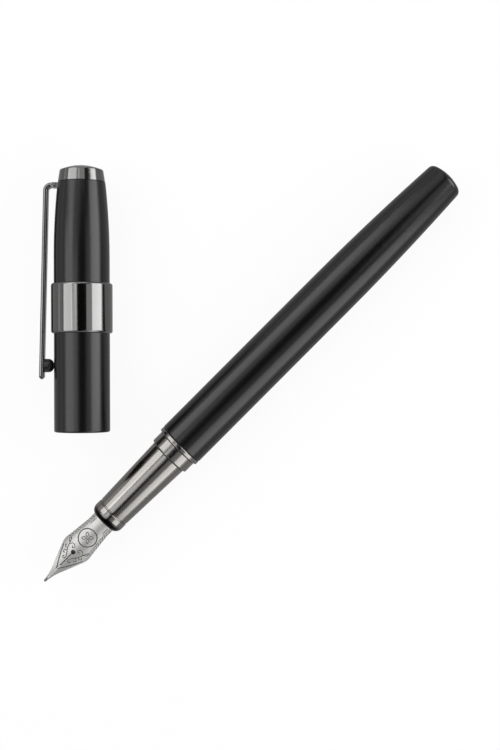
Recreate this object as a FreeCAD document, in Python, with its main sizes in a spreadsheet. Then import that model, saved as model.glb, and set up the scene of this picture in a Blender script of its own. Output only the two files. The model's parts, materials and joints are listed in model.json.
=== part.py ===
import FreeCAD, Part
import math
import os
import Sketcher
from FreeCAD import Placement, Rotation, Vector

# Fountain pen with its cap off, lying on a table (z = 0).
# Every piece of the pen is drawn on the pen's own axis: local X runs from the nib's tip to the
# barrel's end, and local Z is up, through the nib's face.  Every piece of the cap is drawn on the
# cap's own axis: local X runs from the mouth to the finial, and the clip stands out along local Y.
# The placements then lay both on the table, the cap turned beside the pen.

DRIVING_SIZES = [
    # layout on the table
    ("cap_mouth_along", 28.6, "nib tip to the cap's mouth, along the pen"),
    ("cap_mouth_aside", 16.8, "pen axis to the cap's mouth, across the pen"),
    ("cap_turn", 45.1, "angle from the pen's axis to the cap's, degrees"),
    # fits and seams
    ("press_fit", 0.01, "radial play of a pressed or glued fit"),
    ("running_fit", 0.05, "radial play of a turning or sliding fit"),
    ("seam", 0.05, "gap between two faces that meet at a joint"),
    ("edge_round", 0.2, "rounding of the small turned edges"),
    # nib
    ("nib_reach", 18.3, "nib tip to the grip's front edge"),
    ("nib_radius", 2.95, "outer radius of the rolled nib's tail"),
    ("nib_thickness", 0.35, "nib sheet"),
    ("nib_tail_length", 7.7, "tail of the nib inside the grip"),
    ("nib_front_half_width", 0.36, "half width where the pellet is welded on"),
    ("nib_flank_at", 4.5, "end of the hollow flank"),
    ("nib_flank_half_width", 1.38, "half width there"),
    ("nib_flank_radius", 14.0, "radius of the hollow flank"),
    ("nib_shoulder_at", 8.8, "start of the rounded shoulder"),
    ("nib_shoulder_half_width", 3.15, "half width there"),
    ("nib_shoulder_length", 2.1, "length of the rounded shoulder"),
    ("nib_shoulder_end_half_width", 3.34, "half width at its end"),
    ("nib_shoulder_radius", 3.4, "radius of the shoulder"),
    ("nib_tail_half_width", 2.73, "half width of the tail"),
    ("nib_tail_taper_end", 16.5, "where the tail's taper ends"),
    ("nib_spread_radius", 3.9, "radius that the sheet is rolled to ahead of the tail"),
    ("nib_mid_at", 10.0, "station at the shoulder"),
    ("nib_mid_crown", 2.42, "height of the nib's face there"),
    ("nib_fore_at", 4.0, "station on the tines"),
    ("nib_fore_crown", 1.13, "height of the nib's face there"),
    ("nib_front_crown", 0.28, "height of the nib's face at the pellet"),
    ("blank_tail_margin", 0.1, "sheet beyond the outline at the tail, before it is trimmed"),
    ("blank_shoulder_margin", 0.35, "the same at the shoulder"),
    ("blank_fore_margin", 0.69, "the same on the tines"),
    ("slit_width", 0.12, "slit between the tines"),
    ("breather_at", 9.2, "nib tip to the breather hole"),
    ("breather_radius", 0.52, "breather hole"),
    ("pellet_length", 0.9, "writing pellet"),
    ("pellet_radius", 0.29, "writing pellet"),
    ("pellet_slit", 0.08, "slit through the pellet"),
    # feed
    ("feed_play", 0.08, "gap between the nib's tail and the feed"),
    ("feed_tail_length", 11.9, "feed inside the grip"),
    ("feed_mid_radius", 1.85, "feed under the nib's shoulder"),
    ("feed_front_at", 5.0, "front end of the feed"),
    ("feed_front_radius", 0.5, "front end of the feed"),
    ("feed_front_height", 0.4, "height of its centre there"),
    ("fin_first_at", 8.9, "first slot between the fins"),
    ("fin_slot_width", 0.35, "slot between two fins"),
    ("fin_pitch", 0.85, "fin to fin"),
    ("fin_slots", 9, "number of slots"),
    ("fin_spine", 0.2, "depth of the uncut spine below the axis"),
    # nib housing
    ("housing_wall", 0.25, "wall round nib and feed"),
    ("housing_floor", 3.2, "solid floor behind the feed"),
    ("ink_channel_radius", 0.6, "ink channel"),
    ("nipple_radius", 1.25, "nipple that the converter grips"),
    ("nipple_length", 5.0, "nipple that the converter grips"),
    # grip
    ("lip_length", 2.7, "front lip ring"),
    ("lip_ring_wall", 0.55, "front lip ring over the housing"),
    ("lip_nose_length", 1.4, "length of the lip's rounded front"),
    ("lip_edge", 0.05, "flat edge between the nose and the opening"),
    ("lip_wall", 0.6, "inturned front of the lip ring"),
    ("lip_groove_width", 0.2, "hairline groove behind the lip"),
    ("lip_groove_depth", 0.21, "depth of that groove below the lip"),
    ("grip_length", 16.65, "tapering grip shell"),
    ("grip_front_wall", 0.49, "grip shell over the housing, at its front"),
    ("grip_rear_wall", 0.67, "grip shell over the core, at its rear"),
    ("collar_groove_width", 0.1, "hairline groove before the collar"),
    ("collar_length", 2.7, "collar ring"),
    ("collar_wall", 0.76, "collar ring"),
    ("flange_length", 0.95, "flange ring"),
    ("flange_wall", 1.2, "flange ring"),
    # section core and its thread
    ("core_reach", 4.5, "length of the core inside the grip shell"),
    ("core_wall", 0.4, "wall of the core inside the grip shell"),
    ("spigot_wall", 0.45, "wall of the spigot under the thread"),
    ("spigot_length", 8.3, "core behind the flange"),
    ("thread_depth", 0.35, "thread"),
    ("thread_pitch", 0.9, "thread"),
    ("thread_foot", 0.288, "half width of the thread's foot"),
    ("thread_crest", 0.09, "half width of the thread's crest"),
    ("thread_start", 1.3, "barrel's mouth to the thread"),
    ("thread_length", 5.0, "thread"),
    ("seal_length", 0.85, "thread seal"),
    # barrel
    ("barrel_wall", 0.57, "barrel over the threaded bush"),
    ("barrel_taper", 34.8, "tapering part of the barrel"),
    ("barrel_rear_wall", 0.43, "barrel at its end"),
    ("barrel_play", 0.56, "radial play of the converter in the barrel"),
    ("barrel_room", 9.55, "room behind the converter's knob"),
    ("bush_length", 6.6, "threaded bush"),
    ("bush_wall", 0.65, "threaded bush"),
    ("plug_reach", 4.3, "end plug inside the barrel"),
    ("plug_edge_length", 1.05, "rounded edge of the end plug"),
    ("plug_edge_drop", 0.93, "rounded edge of the end plug"),
    ("plug_edge_radius", 1.15, "rounded edge of the end plug"),
    ("plug_dome", 0.65, "height of the end's dome"),
    # converter
    ("converter_radius", 3.1, "converter tube"),
    ("converter_play", 0.15, "play of the converter in the section"),
    ("converter_setback", 2.05, "front of the core to the converter's mouth"),
    ("mouth_length", 5.9, "outer part of the converter's mouth"),
    ("mouth_socket", 3.5, "socket that grips the nipple"),
    ("mouth_plug_length", 2.6, "part of the mouth inside the tube"),
    ("mouth_channel_radius", 0.8, "channel through the mouth"),
    ("reservoir_length", 39.5, "clear tube"),
    ("reservoir_wall", 0.48, "clear tube"),
    ("piston_gap", 0.5, "mouth to the piston at rest"),
    ("piston_length", 5.0, "piston"),
    ("piston_fit", 0.07, "radial play of the piston"),
    ("piston_lip_length", 1.25, "each sealing lip of the piston"),
    ("piston_waist_drop", 0.4, "depth of the waist between the lips"),
    ("stem_radius", 1.4, "piston stem"),
    ("stem_wall", 0.45, "piston stem"),
    ("stem_length", 31.5, "piston stem with its seat in the piston"),
    ("stem_seat", 2.0, "stem inside the piston"),
    ("stem_floor", 1.0, "closed front of the stem"),
    ("guide_reach", 4.0, "guide bush inside the tube"),
    ("guide_length", 10.8, "guide bush behind the tube"),
    ("guide_neck_length", 3.2, "neck that the knob turns on"),
    ("guide_neck_radius", 2.3, "neck that the knob turns on"),
    ("sleeve_cover", 3.0, "sleeve over the clear tube"),
    ("sleeve_length", 14.0, "sleeve"),
    ("sleeve_wall", 0.23, "sleeve"),
    ("knob_radius", 3.2, "knob"),
    ("knob_length", 15.3, "knob"),
    ("knob_end_wall", 1.2, "closed end of the knob"),
    ("knob_flutes", 16, "number of grip flutes"),
    ("knob_flute_radius", 0.3, "grip flute"),
    ("knob_flute_rise", 0.1, "centre of a flute outside the knob"),
    ("knob_round", 0.4, "rounding of the knob's end"),
    ("knob_gap", 0.2, "gap between the knob and the pieces that it turns beside"),
    ("knob_play", 0.2, "radial play of the stem in the knob"),
    ("neck_play", 0.1, "radial play of the knob on the guide's neck"),
    ("spindle_radius", 0.8, "spindle"),
    ("spindle_overlap", 3.0, "spindle inside the stem at rest"),
    ("spindle_seat", 0.7, "spindle inside the knob's end"),
    # cap
    ("cap_play", 0.28, "radial play of the collar in the cap"),
    ("cap_wall", 0.85, "cap tube"),
    ("cap_taper", 16.0, "tapering part of the cap"),
    ("cap_top_wall", 1.5, "cap tube under the finial"),
    ("cap_mouth_round", 0.4, "rounding of the mouth"),
    ("cap_nose_room", 0.8, "nib tip to the finial screw when the cap is on"),
    ("cap_floor", 2.0, "inner wall"),
    ("cap_head_bore", 3.6, "bore above the inner wall"),
    ("cap_head_depth", 6.9, "depth of that bore"),
    ("clutch_at", 0.9, "mouth to the clutch ring"),
    ("clutch_length", 5.1, "clutch ring"),
    ("clutch_wall", 0.47, "clutch ring"),
    ("clutch_gap", 2.0, "gap of the split clutch ring"),
    ("liner_behind_lip", 1.8, "lip's rear edge to the liner's mouth when the cap is on"),
    ("liner_wall", 1.03, "liner"),
    ("liner_floor", 1.75, "closed end of the liner"),
    ("liner_lead", 0.5, "chamfer of the liner's mouth"),
    ("band_at", 21.1, "mouth to the band"),
    ("band_length", 10.7, "cap band"),
    ("band_wall", 0.59, "cap band"),
    ("band_round", 0.5, "rounding of the band's edges"),
    ("finial_step", 0.07, "step in from the tube to the finial's foot"),
    ("finial_draft", 0.35, "narrowing of the finial from foot to shoulder"),
    ("finial_height", 2.4, "foot to shoulder"),
    ("finial_round", 0.35, "rounding of the shoulder"),
    ("finial_dome", 0.9, "height of the dome"),
    ("screw_radius", 1.6, "finial screw"),
    ("screw_head_radius", 2.6, "finial screw"),
    ("screw_head_height", 1.1, "finial screw"),
    ("screw_slot", 0.5, "driver slot"),
    ("screw_slot_depth", 0.55, "driver slot"),
    ("screw_grip", 1.9, "screw inside the finial"),
    # clip
    ("clip_thickness", 1.0, "clip strip"),
    ("clip_width", 2.6, "clip strip"),
    ("clip_leg_stand", 0.1, "leg's end outside the cap tube"),
    ("clip_joint_gap", 0.1, "gap at the clip's bending line"),
    ("clip_slot_play", 0.2, "play of the leg in the width of its slot"),
    ("clip_bend_radius", 1.7, "outer radius of the bend"),
    ("clip_near_stand", 2.14, "cap tube to the arm's outer face at the bend"),
    ("clip_far_stand", 3.15, "cap tube to the arm's outer face at its end"),
    ("clip_length", 42.1, "clip from its leg to its end"),
    ("clip_edge_round", 0.4, "rounding of the strip's edges"),
    ("bead_from_end", 3.05, "clip's end to the bead"),
    ("bead_radius", 1.45, "bead"),
    ("bead_skirt", 0.9, "straight part of the bead"),
    ("bead_nose_radius", 0.3, "bead where it meets the tube"),
    ("bead_gap", 0.06, "bead to the cap tube"),
]


class Size:
    """A length with the spreadsheet expression that it comes from."""

    def __init__(self, value, text):
        self.value = float(value)
        self.text = text

    def _join(self, other, sign, value):
        return Size(value, f"({self.text} {sign} {as_size(other).text})")

    def __add__(self, other):
        return self._join(other, "+", self.value + as_size(other).value)

    def __sub__(self, other):
        return self._join(other, "-", self.value - as_size(other).value)

    def __mul__(self, other):
        return self._join(other, "*", self.value * as_size(other).value)

    def __truediv__(self, other):
        return self._join(other, "/", self.value / as_size(other).value)

    def __neg__(self):
        return Size(-self.value, f"(-1 * {self.text})")


def as_size(number):
    """A Size as it is, or a plain number as a Size."""
    return number if isinstance(number, Size) else Size(number, repr(float(number)))


def root(size):
    """The square root of a Size."""
    return Size(math.sqrt(size.value), f"sqrt({size.text})")


def sine(angle):
    """The sine of an angle in degrees."""
    return Size(math.sin(math.radians(angle.value)), f"sin({angle.text})")


def cosine(angle):
    """The cosine of an angle in degrees."""
    return Size(math.cos(math.radians(angle.value)), f"cos({angle.text})")


def sagitta_radius(half_chord, rise):
    """The radius of the arc whose half chord and rise are given."""
    return (half_chord * half_chord + rise * rise) / (rise * 2)


doc = FreeCAD.newDocument("FountainPen")
sheet = doc.addObject("Spreadsheet::Sheet", "Sizes")
S = {}
for row, (alias, value, note) in enumerate(DRIVING_SIZES, start=1):
    sheet.set(f"A{row}", alias)
    sheet.set(f"B{row}", str(value))
    sheet.set(f"C{row}", note)
    sheet.setAlias(f"B{row}", alias)
    S[alias] = Size(value, f"Sizes.{alias}")
doc.recompute()


# Radii, built outward from what each piece holds.
housing_bore = S["nib_radius"] + S["running_fit"]
housing_radius = housing_bore + S["housing_wall"]
feed_radius = S["nib_radius"] - S["nib_thickness"] - S["feed_play"]
lip_radius = housing_radius + S["press_fit"] + S["lip_ring_wall"]
grip_front_radius = housing_radius + S["press_fit"] + S["grip_front_wall"]
core_bore = S["converter_radius"] + S["converter_play"]
core_radius = core_bore + S["core_wall"]
grip_rear_radius = core_radius + S["press_fit"] + S["grip_rear_wall"]
thread_root = core_bore + S["spigot_wall"]
spigot_radius = thread_root + S["thread_depth"]
collar_radius = spigot_radius + S["press_fit"] + S["collar_wall"]
flange_radius = spigot_radius + S["running_fit"] + S["flange_wall"]
bush_radius = spigot_radius + S["running_fit"] + S["bush_wall"]
barrel_radius = bush_radius + S["press_fit"] + S["barrel_wall"]
sleeve_radius = S["converter_radius"] + S["press_fit"] + S["sleeve_wall"]
barrel_bore = sleeve_radius + S["barrel_play"]
barrel_rear_radius = barrel_bore + S["barrel_rear_wall"]
clutch_bore = collar_radius + S["running_fit"]
clutch_radius = clutch_bore + S["clutch_wall"]
cap_bore = collar_radius + S["cap_play"]
cap_radius = cap_bore + S["cap_wall"]
cap_top_radius = S["cap_head_bore"] + S["cap_top_wall"]
band_radius = cap_radius + S["press_fit"] + S["band_wall"]
finial_radius = cap_top_radius - S["finial_step"]
finial_top_radius = finial_radius - S["finial_draft"]
clip_leg_end = cap_radius + S["clip_leg_stand"]
clip_near_face = cap_radius + S["clip_near_stand"]
clip_far_face = cap_radius + S["clip_far_stand"]

# Stations along the pen, measured from the nib's tip.
lip_front = S["nib_reach"]
lip_rear = lip_front + S["lip_length"]
grip_front = lip_rear + S["lip_groove_width"]
grip_rear = grip_front + S["grip_length"]
collar_front = grip_rear + S["collar_groove_width"]
collar_rear = collar_front + S["collar_length"]
flange_front = collar_rear + S["seam"]
flange_rear = flange_front + S["flange_length"]
barrel_front = flange_rear + S["seam"]
housing_front = lip_front + S["lip_wall"]
core_front = collar_front - S["core_reach"]
core_rear = barrel_front + S["spigot_length"]
feed_rear = lip_front + S["feed_tail_length"]

# Stations along the converter.
mouth_front = core_front + S["converter_setback"]
mouth_shoulder = mouth_front + S["mouth_length"]
mouth_rear = mouth_shoulder + S["mouth_plug_length"]
reservoir_front = mouth_shoulder + S["seam"]
reservoir_rear = reservoir_front + S["reservoir_length"]
reservoir_bore = S["converter_radius"] - S["reservoir_wall"]
piston_front = mouth_rear + S["piston_gap"]
piston_rear = piston_front + S["piston_length"]
stem_front = piston_rear - S["stem_seat"]
stem_rear = stem_front + S["stem_length"]
guide_front = reservoir_rear - S["guide_reach"]
guide_shoulder = reservoir_rear + S["guide_length"]
guide_rear = guide_shoulder + S["guide_neck_length"]
sleeve_front = reservoir_rear - S["sleeve_cover"]
sleeve_rear = sleeve_front + S["sleeve_length"]
knob_front = sleeve_rear + S["knob_gap"]
knob_rear = knob_front + S["knob_length"]
knob_cavity_rear = knob_rear - S["knob_end_wall"]
spindle_front = stem_rear - S["spindle_overlap"]
spindle_rear = knob_cavity_rear + S["spindle_seat"]

# The barrel closes behind the converter.
barrel_rear = knob_rear + S["barrel_room"] + S["plug_reach"]
taper_start = barrel_rear - S["barrel_taper"]
plug_shoulder = barrel_rear + S["plug_edge_length"]
pen_end = plug_shoulder + S["plug_dome"]

# Stations along the cap, measured from its mouth, which meets the flange when the cap is on.
screw_head_front = flange_front + S["cap_nose_room"]
liner_floor_front = screw_head_front + S["screw_head_height"]
liner_rear = liner_floor_front + S["liner_floor"]
cap_floor_front = liner_rear + S["seam"]
cap_floor_top = cap_floor_front + S["cap_floor"]
tube_top = cap_floor_top + S["cap_head_depth"]
cap_taper_start = tube_top - S["cap_taper"]
liner_front = flange_front - lip_rear + S["liner_behind_lip"]
clip_end = tube_top - S["clip_length"]
bead_middle = clip_end + S["bead_from_end"]
clip_ring_under = tube_top - S["clip_thickness"]
finial_foot = tube_top + S["seam"]
finial_shoulder = finial_foot + S["finial_height"]
finial_edge = finial_shoulder + S["finial_round"]
finial_top = finial_edge + S["finial_dome"]

# Where the two groups lie: the origin is under the middle of the whole.
turn = S["cap_turn"]
far_edge = S["cap_mouth_aside"] + finial_shoulder * sine(turn) + finial_top_radius * cosine(turn)
middle_x = pen_end / 2
middle_y = (far_edge - barrel_radius) / 2
PEN_PLACE = (-middle_x, -middle_y, barrel_radius, None)
CAP_PLACE = (S["cap_mouth_along"] - middle_x, S["cap_mouth_aside"] - middle_y, band_radius, turn)

sub_parts = []


def bind(thing, path, size):
    """Tie one property of an object to the spreadsheet."""
    thing.setExpression(path, as_size(size).text)


def new_body(label, place):
    """A body for one sub-part, laid on the table with the pen or with the cap."""
    body = doc.addObject("PartDesign::Body", label)
    body.Label = label
    along, aside, up, angle = place
    spin = Rotation(Vector(0, 0, 1), angle.value if angle else 0)
    body.Placement = Placement(Vector(along.value, aside.value, up.value), spin)
    bind(body, "Placement.Base.x", along)
    bind(body, "Placement.Base.y", aside)
    bind(body, "Placement.Base.z", up)
    if angle:
        bind(body, "Placement.Rotation.Angle", angle)
    sub_parts.append(body)
    return body


def arc_between(start, end, radius, side):
    """The short arc from start to end; side 1 turns left on the way, side -1 turns right."""
    chord = end - start
    middle = (start + end) * 0.5
    left = Vector(-chord.y, chord.x, 0).normalize()
    centre = middle + left * (side * math.sqrt(max(radius**2 - (chord.Length / 2) ** 2, 0)))
    first, last = (start, end) if side > 0 else (end, start)
    angles = [math.atan2(p.y - centre.y, p.x - centre.x) for p in (first, last)]
    return Part.ArcOfCircle(Part.Circle(centre, Vector(0, 0, 1), radius), angles[0], angles[1])


def new_sketch(body, name, plane, shift=(0, 0, 0)):
    """A sketch on one of the body's own origin planes, shifted in that plane's frame."""
    sketch = body.newObject("Sketcher::SketchObject", name)
    origin_plane = next(f for f in body.Origin.OriginFeatures if f.Role == plane)
    sketch.AttachmentSupport = [(origin_plane, "")]
    sketch.MapMode = "FlatFace"
    for axis, size in zip("xyz", shift):
        if isinstance(size, Size):
            bind(sketch, f"AttachmentOffset.Base.{axis}", size)
    return sketch


def draw_outline(sketch, corners):
    """A closed outline.  Each corner is (x, y), or (x, y, radius, side) where an arc leaves it."""
    count = len(corners)
    points = [Vector(as_size(c[0]).value, as_size(c[1]).value, 0) for c in corners]
    first_edge = sketch.GeometryCount
    ends = []
    for i, corner in enumerate(corners):
        start, end = points[i], points[(i + 1) % count]
        if len(corner) == 2:
            sketch.addGeometry(Part.LineSegment(start, end), False)
            ends.append((1, 2))
        else:
            sketch.addGeometry(arc_between(start, end, corner[2].value, corner[3]), False)
            ends.append((1, 2) if corner[3] > 0 else (2, 1))
    for i, corner in enumerate(corners):
        edge, after = first_edge + i, first_edge + (i + 1) % count
        joint = Sketcher.Constraint("Coincident", edge, ends[i][1], after, ends[(i + 1) % count][0])
        sketch.addConstraint(joint)
        for kind, size, value in (("X", corner[0], points[i].x), ("Y", corner[1], points[i].y)):
            rule = Sketcher.Constraint(f"Distance{kind}", -1, 1, edge, ends[i][0], value)
            number = sketch.addConstraint(rule)
            if isinstance(size, Size):
                bind(sketch, f"Constraints[{number}]", size)
        if len(corner) == 4:
            number = sketch.addConstraint(Sketcher.Constraint("Radius", edge, corner[2].value))
            bind(sketch, f"Constraints[{number}]", corner[2])


def draw_circle(sketch, along, aside, radius):
    """A circle at (along, aside)."""
    centre = Vector(as_size(along).value, as_size(aside).value, 0)
    circle = sketch.addGeometry(Part.Circle(centre, Vector(0, 0, 1), radius.value), False)
    number = sketch.addConstraint(Sketcher.Constraint("Radius", circle, radius.value))
    bind(sketch, f"Constraints[{number}]", radius)
    for kind, size, value in (("X", along, centre.x), ("Y", aside, centre.y)):
        rule = Sketcher.Constraint(f"Distance{kind}", -1, 1, circle, 3, value)
        number = sketch.addConstraint(rule)
        if isinstance(size, Size):
            bind(sketch, f"Constraints[{number}]", size)


def revolve(body, corners, shift=(0, 0, 0), axis="H_Axis"):
    """Turn an outline drawn in the XY plane a full turn about the sketch's own axis."""
    sketch = new_sketch(body, f"{body.Label}_profile", "XY_Plane", shift)
    draw_outline(sketch, corners)
    turned = body.newObject("PartDesign::Revolution", f"{body.Label}_turned")
    turned.Profile = sketch
    turned.ReferenceAxis = (sketch, [axis])
    turned.Angle = 360
    return turned


def turned_part(label, place, corners):
    """A sub-part that is one turned solid."""
    body = new_body(label, place)
    revolve(body, corners)
    return body


def cut_through(body, sketch, name, midplane=True, reverse=False):
    """Cut a sketch right through the body, both ways or one way, and check that it cut."""
    doc.recompute()
    before = body.Shape.Volume
    pocket = body.newObject("PartDesign::Pocket", name)
    pocket.Profile = sketch
    pocket.Type = "ThroughAll"
    pocket.Midplane = midplane
    pocket.Reversed = reverse
    doc.recompute()
    if body.Shape.Volume >= before - 1e-6:
        raise RuntimeError(f"{name} removed nothing from {body.Label}")
    return pocket


def round_edges(body, radius, chosen):
    """Fillet the edges of the body's tip for which chosen(edge) is true."""
    doc.recompute()
    base = body.Tip
    names = [f"Edge{i}" for i, edge in enumerate(base.Shape.Edges, start=1) if chosen(edge)]
    fillet = body.newObject("PartDesign::Fillet", f"{body.Label}_rounding")
    fillet.Base = (base, names)
    bind(fillet, "Radius", radius)
    return fillet


# ---------------------------------------------------------------- nib, feed and their housing


def nib_stations():
    """Stations of the rolled sheet: distance from the tip, roll radius, crown height, half width."""
    spread = S["nib_spread_radius"]
    tail_width = S["nib_tail_half_width"] + S["blank_tail_margin"]
    wide = S["nib_shoulder_end_half_width"] + S["blank_shoulder_margin"]
    fore_width = S["nib_flank_half_width"] + S["blank_fore_margin"]
    return [
        (lip_front, S["nib_radius"], S["nib_radius"], tail_width),
        (S["nib_mid_at"], spread, S["nib_mid_crown"], wide),
        (S["nib_fore_at"], spread, S["nib_fore_crown"], fore_width),
        (S["pellet_length"], spread, S["nib_front_crown"], S["nib_flank_half_width"]),
    ]


def sheet_section(body, name, station, shift_on=0):
    """One cross-section of the rolled sheet: two concentric arcs closed by radial edges."""
    along, radius, crown, half_width = station
    inner = radius - S["nib_thickness"]
    share = half_width / radius
    level = root(as_size(1) - share * share)
    centre = crown - radius
    sketch = new_sketch(body, name, "YZ_Plane", (0, 0, along))
    draw_outline(
        sketch,
        [
            (half_width, centre + radius * level, radius, 1),
            (-half_width, centre + radius * level),
            (-(inner * share), centre + inner * level, inner, -1),
            (inner * share, centre + inner * level),
        ],
    )
    return sketch


def make_nib():
    """Steel nib: a rolled sheet, lofted to the tines, trimmed to its outline, slit and pierced."""
    body = new_body("nib", PEN_PLACE)
    stations = nib_stations()
    tail = body.newObject("PartDesign::Pad", "nib_tail")
    tail_sketch = sheet_section(body, "nib_tail_section", stations[0])
    tail.Profile = tail_sketch
    bind(tail, "Length", S["nib_tail_length"])
    sections = [sheet_section(body, f"nib_section_{i}", s) for i, s in enumerate(stations)]
    blade = body.newObject("PartDesign::AdditiveLoft", "nib_blade")
    blade.Profile = sections[0]
    blade.Sections = sections[1:]
    doc.recompute()
    trim = new_sketch(body, "nib_outline", "XY_Plane")
    shoulder_end = S["nib_shoulder_at"] + S["nib_shoulder_length"]
    tail_end = lip_front + S["nib_tail_length"] + S["seam"]
    margin = S["nib_radius"] * 2
    front = S["pellet_length"]
    upper = [
        (front, S["nib_front_half_width"], S["nib_flank_radius"], 1),
        (S["nib_flank_at"], S["nib_flank_half_width"]),
        (S["nib_shoulder_at"], S["nib_shoulder_half_width"], S["nib_shoulder_radius"], -1),
        (shoulder_end, S["nib_shoulder_end_half_width"]),
        (S["nib_tail_taper_end"], S["nib_tail_half_width"]),
        (tail_end, S["nib_tail_half_width"]),
    ]
    far_ends = [(tail_end, margin), (front - S["seam"], margin)]
    draw_outline(trim, upper + far_ends + [(front - S["seam"], S["nib_front_half_width"])])
    lower = [(c[0], -c[1]) + ((c[2], -c[3]) if len(c) == 4 else ()) for c in upper]
    far_ends = [(c[0], -c[1]) for c in far_ends]
    draw_outline(trim, lower + far_ends + [(front - S["seam"], -S["nib_front_half_width"])])
    cut_through(body, trim, "nib_trim")
    slit = new_sketch(body, "nib_slit_outline", "XY_Plane")
    half = S["slit_width"] / 2
    slit_front = front - S["seam"]
    slit_rear = S["breather_at"]
    draw_outline(slit, [(slit_front, half), (slit_front, -half), (slit_rear, -half), (slit_rear, half)])
    cut_through(body, slit, "nib_slit")
    hole = new_sketch(body, "nib_breather_outline", "XY_Plane")
    draw_circle(hole, S["breather_at"], 0, S["breather_radius"])
    cut_through(body, hole, "nib_breather")


def make_nib_pellet():
    """Hard writing pellet at the tip, rounded in front and slit from above."""
    body = new_body("nib_pellet", PEN_PLACE)
    radius, length = S["pellet_radius"], S["pellet_length"]
    height = S["nib_front_crown"] - S["nib_thickness"] / 2
    revolve(body, [(0, 0), (length, 0), (length, radius), (radius, radius, radius, 1)], (0, 0, height))
    slit = new_sketch(body, "pellet_slit_outline", "XY_Plane", (0, 0, height))
    half = S["pellet_slit"] / 2
    draw_outline(slit, [(-half, -half), (length, -half), (length, half), (-half, half)])
    cut_through(body, slit, "pellet_slit_cut", midplane=False, reverse=True)


def make_feed():
    """Black feed: a cylinder in the housing that tapers up under the nib, with a comb of fins."""
    body = new_body("feed", PEN_PLACE)
    mid_height = S["nib_mid_crown"] - S["nib_thickness"] - S["seam"] - S["feed_mid_radius"]
    stations = [
        (lip_front, feed_radius, as_size(0)),
        (S["nib_mid_at"], S["feed_mid_radius"], mid_height),
        (S["feed_front_at"], S["feed_front_radius"], S["feed_front_height"]),
    ]
    tail_sketch = new_sketch(body, "feed_tail_section", "YZ_Plane", (0, 0, lip_front))
    draw_circle(tail_sketch, 0, 0, feed_radius)
    tail = body.newObject("PartDesign::Pad", "feed_tail")
    tail.Profile = tail_sketch
    bind(tail, "Length", S["feed_tail_length"])
    sections = []
    for i, (along, radius, height) in enumerate(stations):
        sketch = new_sketch(body, f"feed_section_{i}", "YZ_Plane", (0, 0, along))
        draw_circle(sketch, 0, height, radius)
        sections.append(sketch)
    tongue = body.newObject("PartDesign::AdditiveLoft", "feed_tongue")
    tongue.Profile = sections[0]
    tongue.Sections = sections[1:]
    doc.recompute()
    slot = new_sketch(body, "feed_slot_outline", "XZ_Plane")
    first, low = S["fin_first_at"], -(feed_radius + S["seam"])
    after = first + S["fin_slot_width"]
    draw_outline(slot, [(first, low), (after, low), (after, -S["fin_spine"]), (first, -S["fin_spine"])])
    slot_cut = cut_through(body, slot, "feed_slot")
    comb = body.newObject("PartDesign::LinearPattern", "feed_comb")
    comb.Originals = [slot_cut]
    comb.Direction = (slot, ["H_Axis"])
    bind(comb, "Length", S["fin_pitch"] * (S["fin_slots"] - 1))
    bind(comb, "Occurrences", S["fin_slots"])
    body.Tip = comb


def make_nib_housing():
    """Black sleeve round nib and feed, closed behind them, with the nipple for the converter."""
    bore, outer = housing_bore, housing_radius
    floor_front = core_front - S["housing_floor"]
    nipple_rear = core_front + S["nipple_length"]
    channel = S["ink_channel_radius"]
    turned_part(
        "nib_housing",
        PEN_PLACE,
        [
            (housing_front, bore),
            (floor_front, bore),
            (floor_front, channel),
            (nipple_rear, channel),
            (nipple_rear, S["nipple_radius"] - S["edge_round"]),
            (nipple_rear - S["edge_round"], S["nipple_radius"]),
            (core_front - S["seam"], S["nipple_radius"]),
            (core_front - S["seam"], outer),
            (housing_front, outer),
        ],
    )


# ---------------------------------------------------------------- grip section


def make_lip_ring():
    """Rounded bead at the front of the grip, with a thin neck behind it for the hairline groove."""
    nose, outer = S["lip_nose_length"], lip_radius
    opening = housing_bore + S["seam"]
    nose_foot = opening + S["lip_edge"]
    bore = housing_radius + S["press_fit"]
    turned_part(
        "lip_ring",
        PEN_PLACE,
        [
            (lip_front, opening),
            (lip_front + S["lip_wall"], opening),
            (lip_front + S["lip_wall"], bore),
            (grip_front, bore),
            (grip_front, outer - S["lip_groove_depth"]),
            (lip_rear, outer - S["lip_groove_depth"]),
            (lip_rear, outer - S["edge_round"], S["edge_round"], 1),
            (lip_rear - S["edge_round"], outer),
            (lip_front + nose, outer, sagitta_radius(nose, outer - nose_foot), 1),
            (lip_front, nose_foot),
        ],
    )


def make_grip_shell():
    """Long tapering metal sleeve that the fingers hold."""
    small_bore = housing_radius + S["press_fit"]
    large_bore = core_radius + S["press_fit"]
    slope = (grip_rear_radius - grip_front_radius) / S["grip_length"]
    soft = S["edge_round"] / 2
    turned_part(
        "grip_shell",
        PEN_PLACE,
        [
            (grip_front, small_bore),
            (core_front, small_bore),
            (core_front, large_bore),
            (grip_rear, large_bore),
            (grip_rear, grip_rear_radius - soft),
            (grip_rear - soft, grip_rear_radius - slope * soft),
            (grip_front + soft, grip_front_radius + slope * soft),
            (grip_front, grip_front_radius - soft),
        ],
    )


def make_collar_ring():
    """Stepped collar behind the grip, which the cap's clutch ring closes on."""
    bore, outer, soft = spigot_radius + S["press_fit"], collar_radius, S["edge_round"]
    turned_part(
        "collar_ring",
        PEN_PLACE,
        [
            (collar_front, bore),
            (collar_rear, bore),
            (collar_rear, outer - soft / 2),
            (collar_rear - soft / 2, outer),
            (collar_front + soft, outer, soft, 1),
            (collar_front, outer - soft),
        ],
    )


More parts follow.
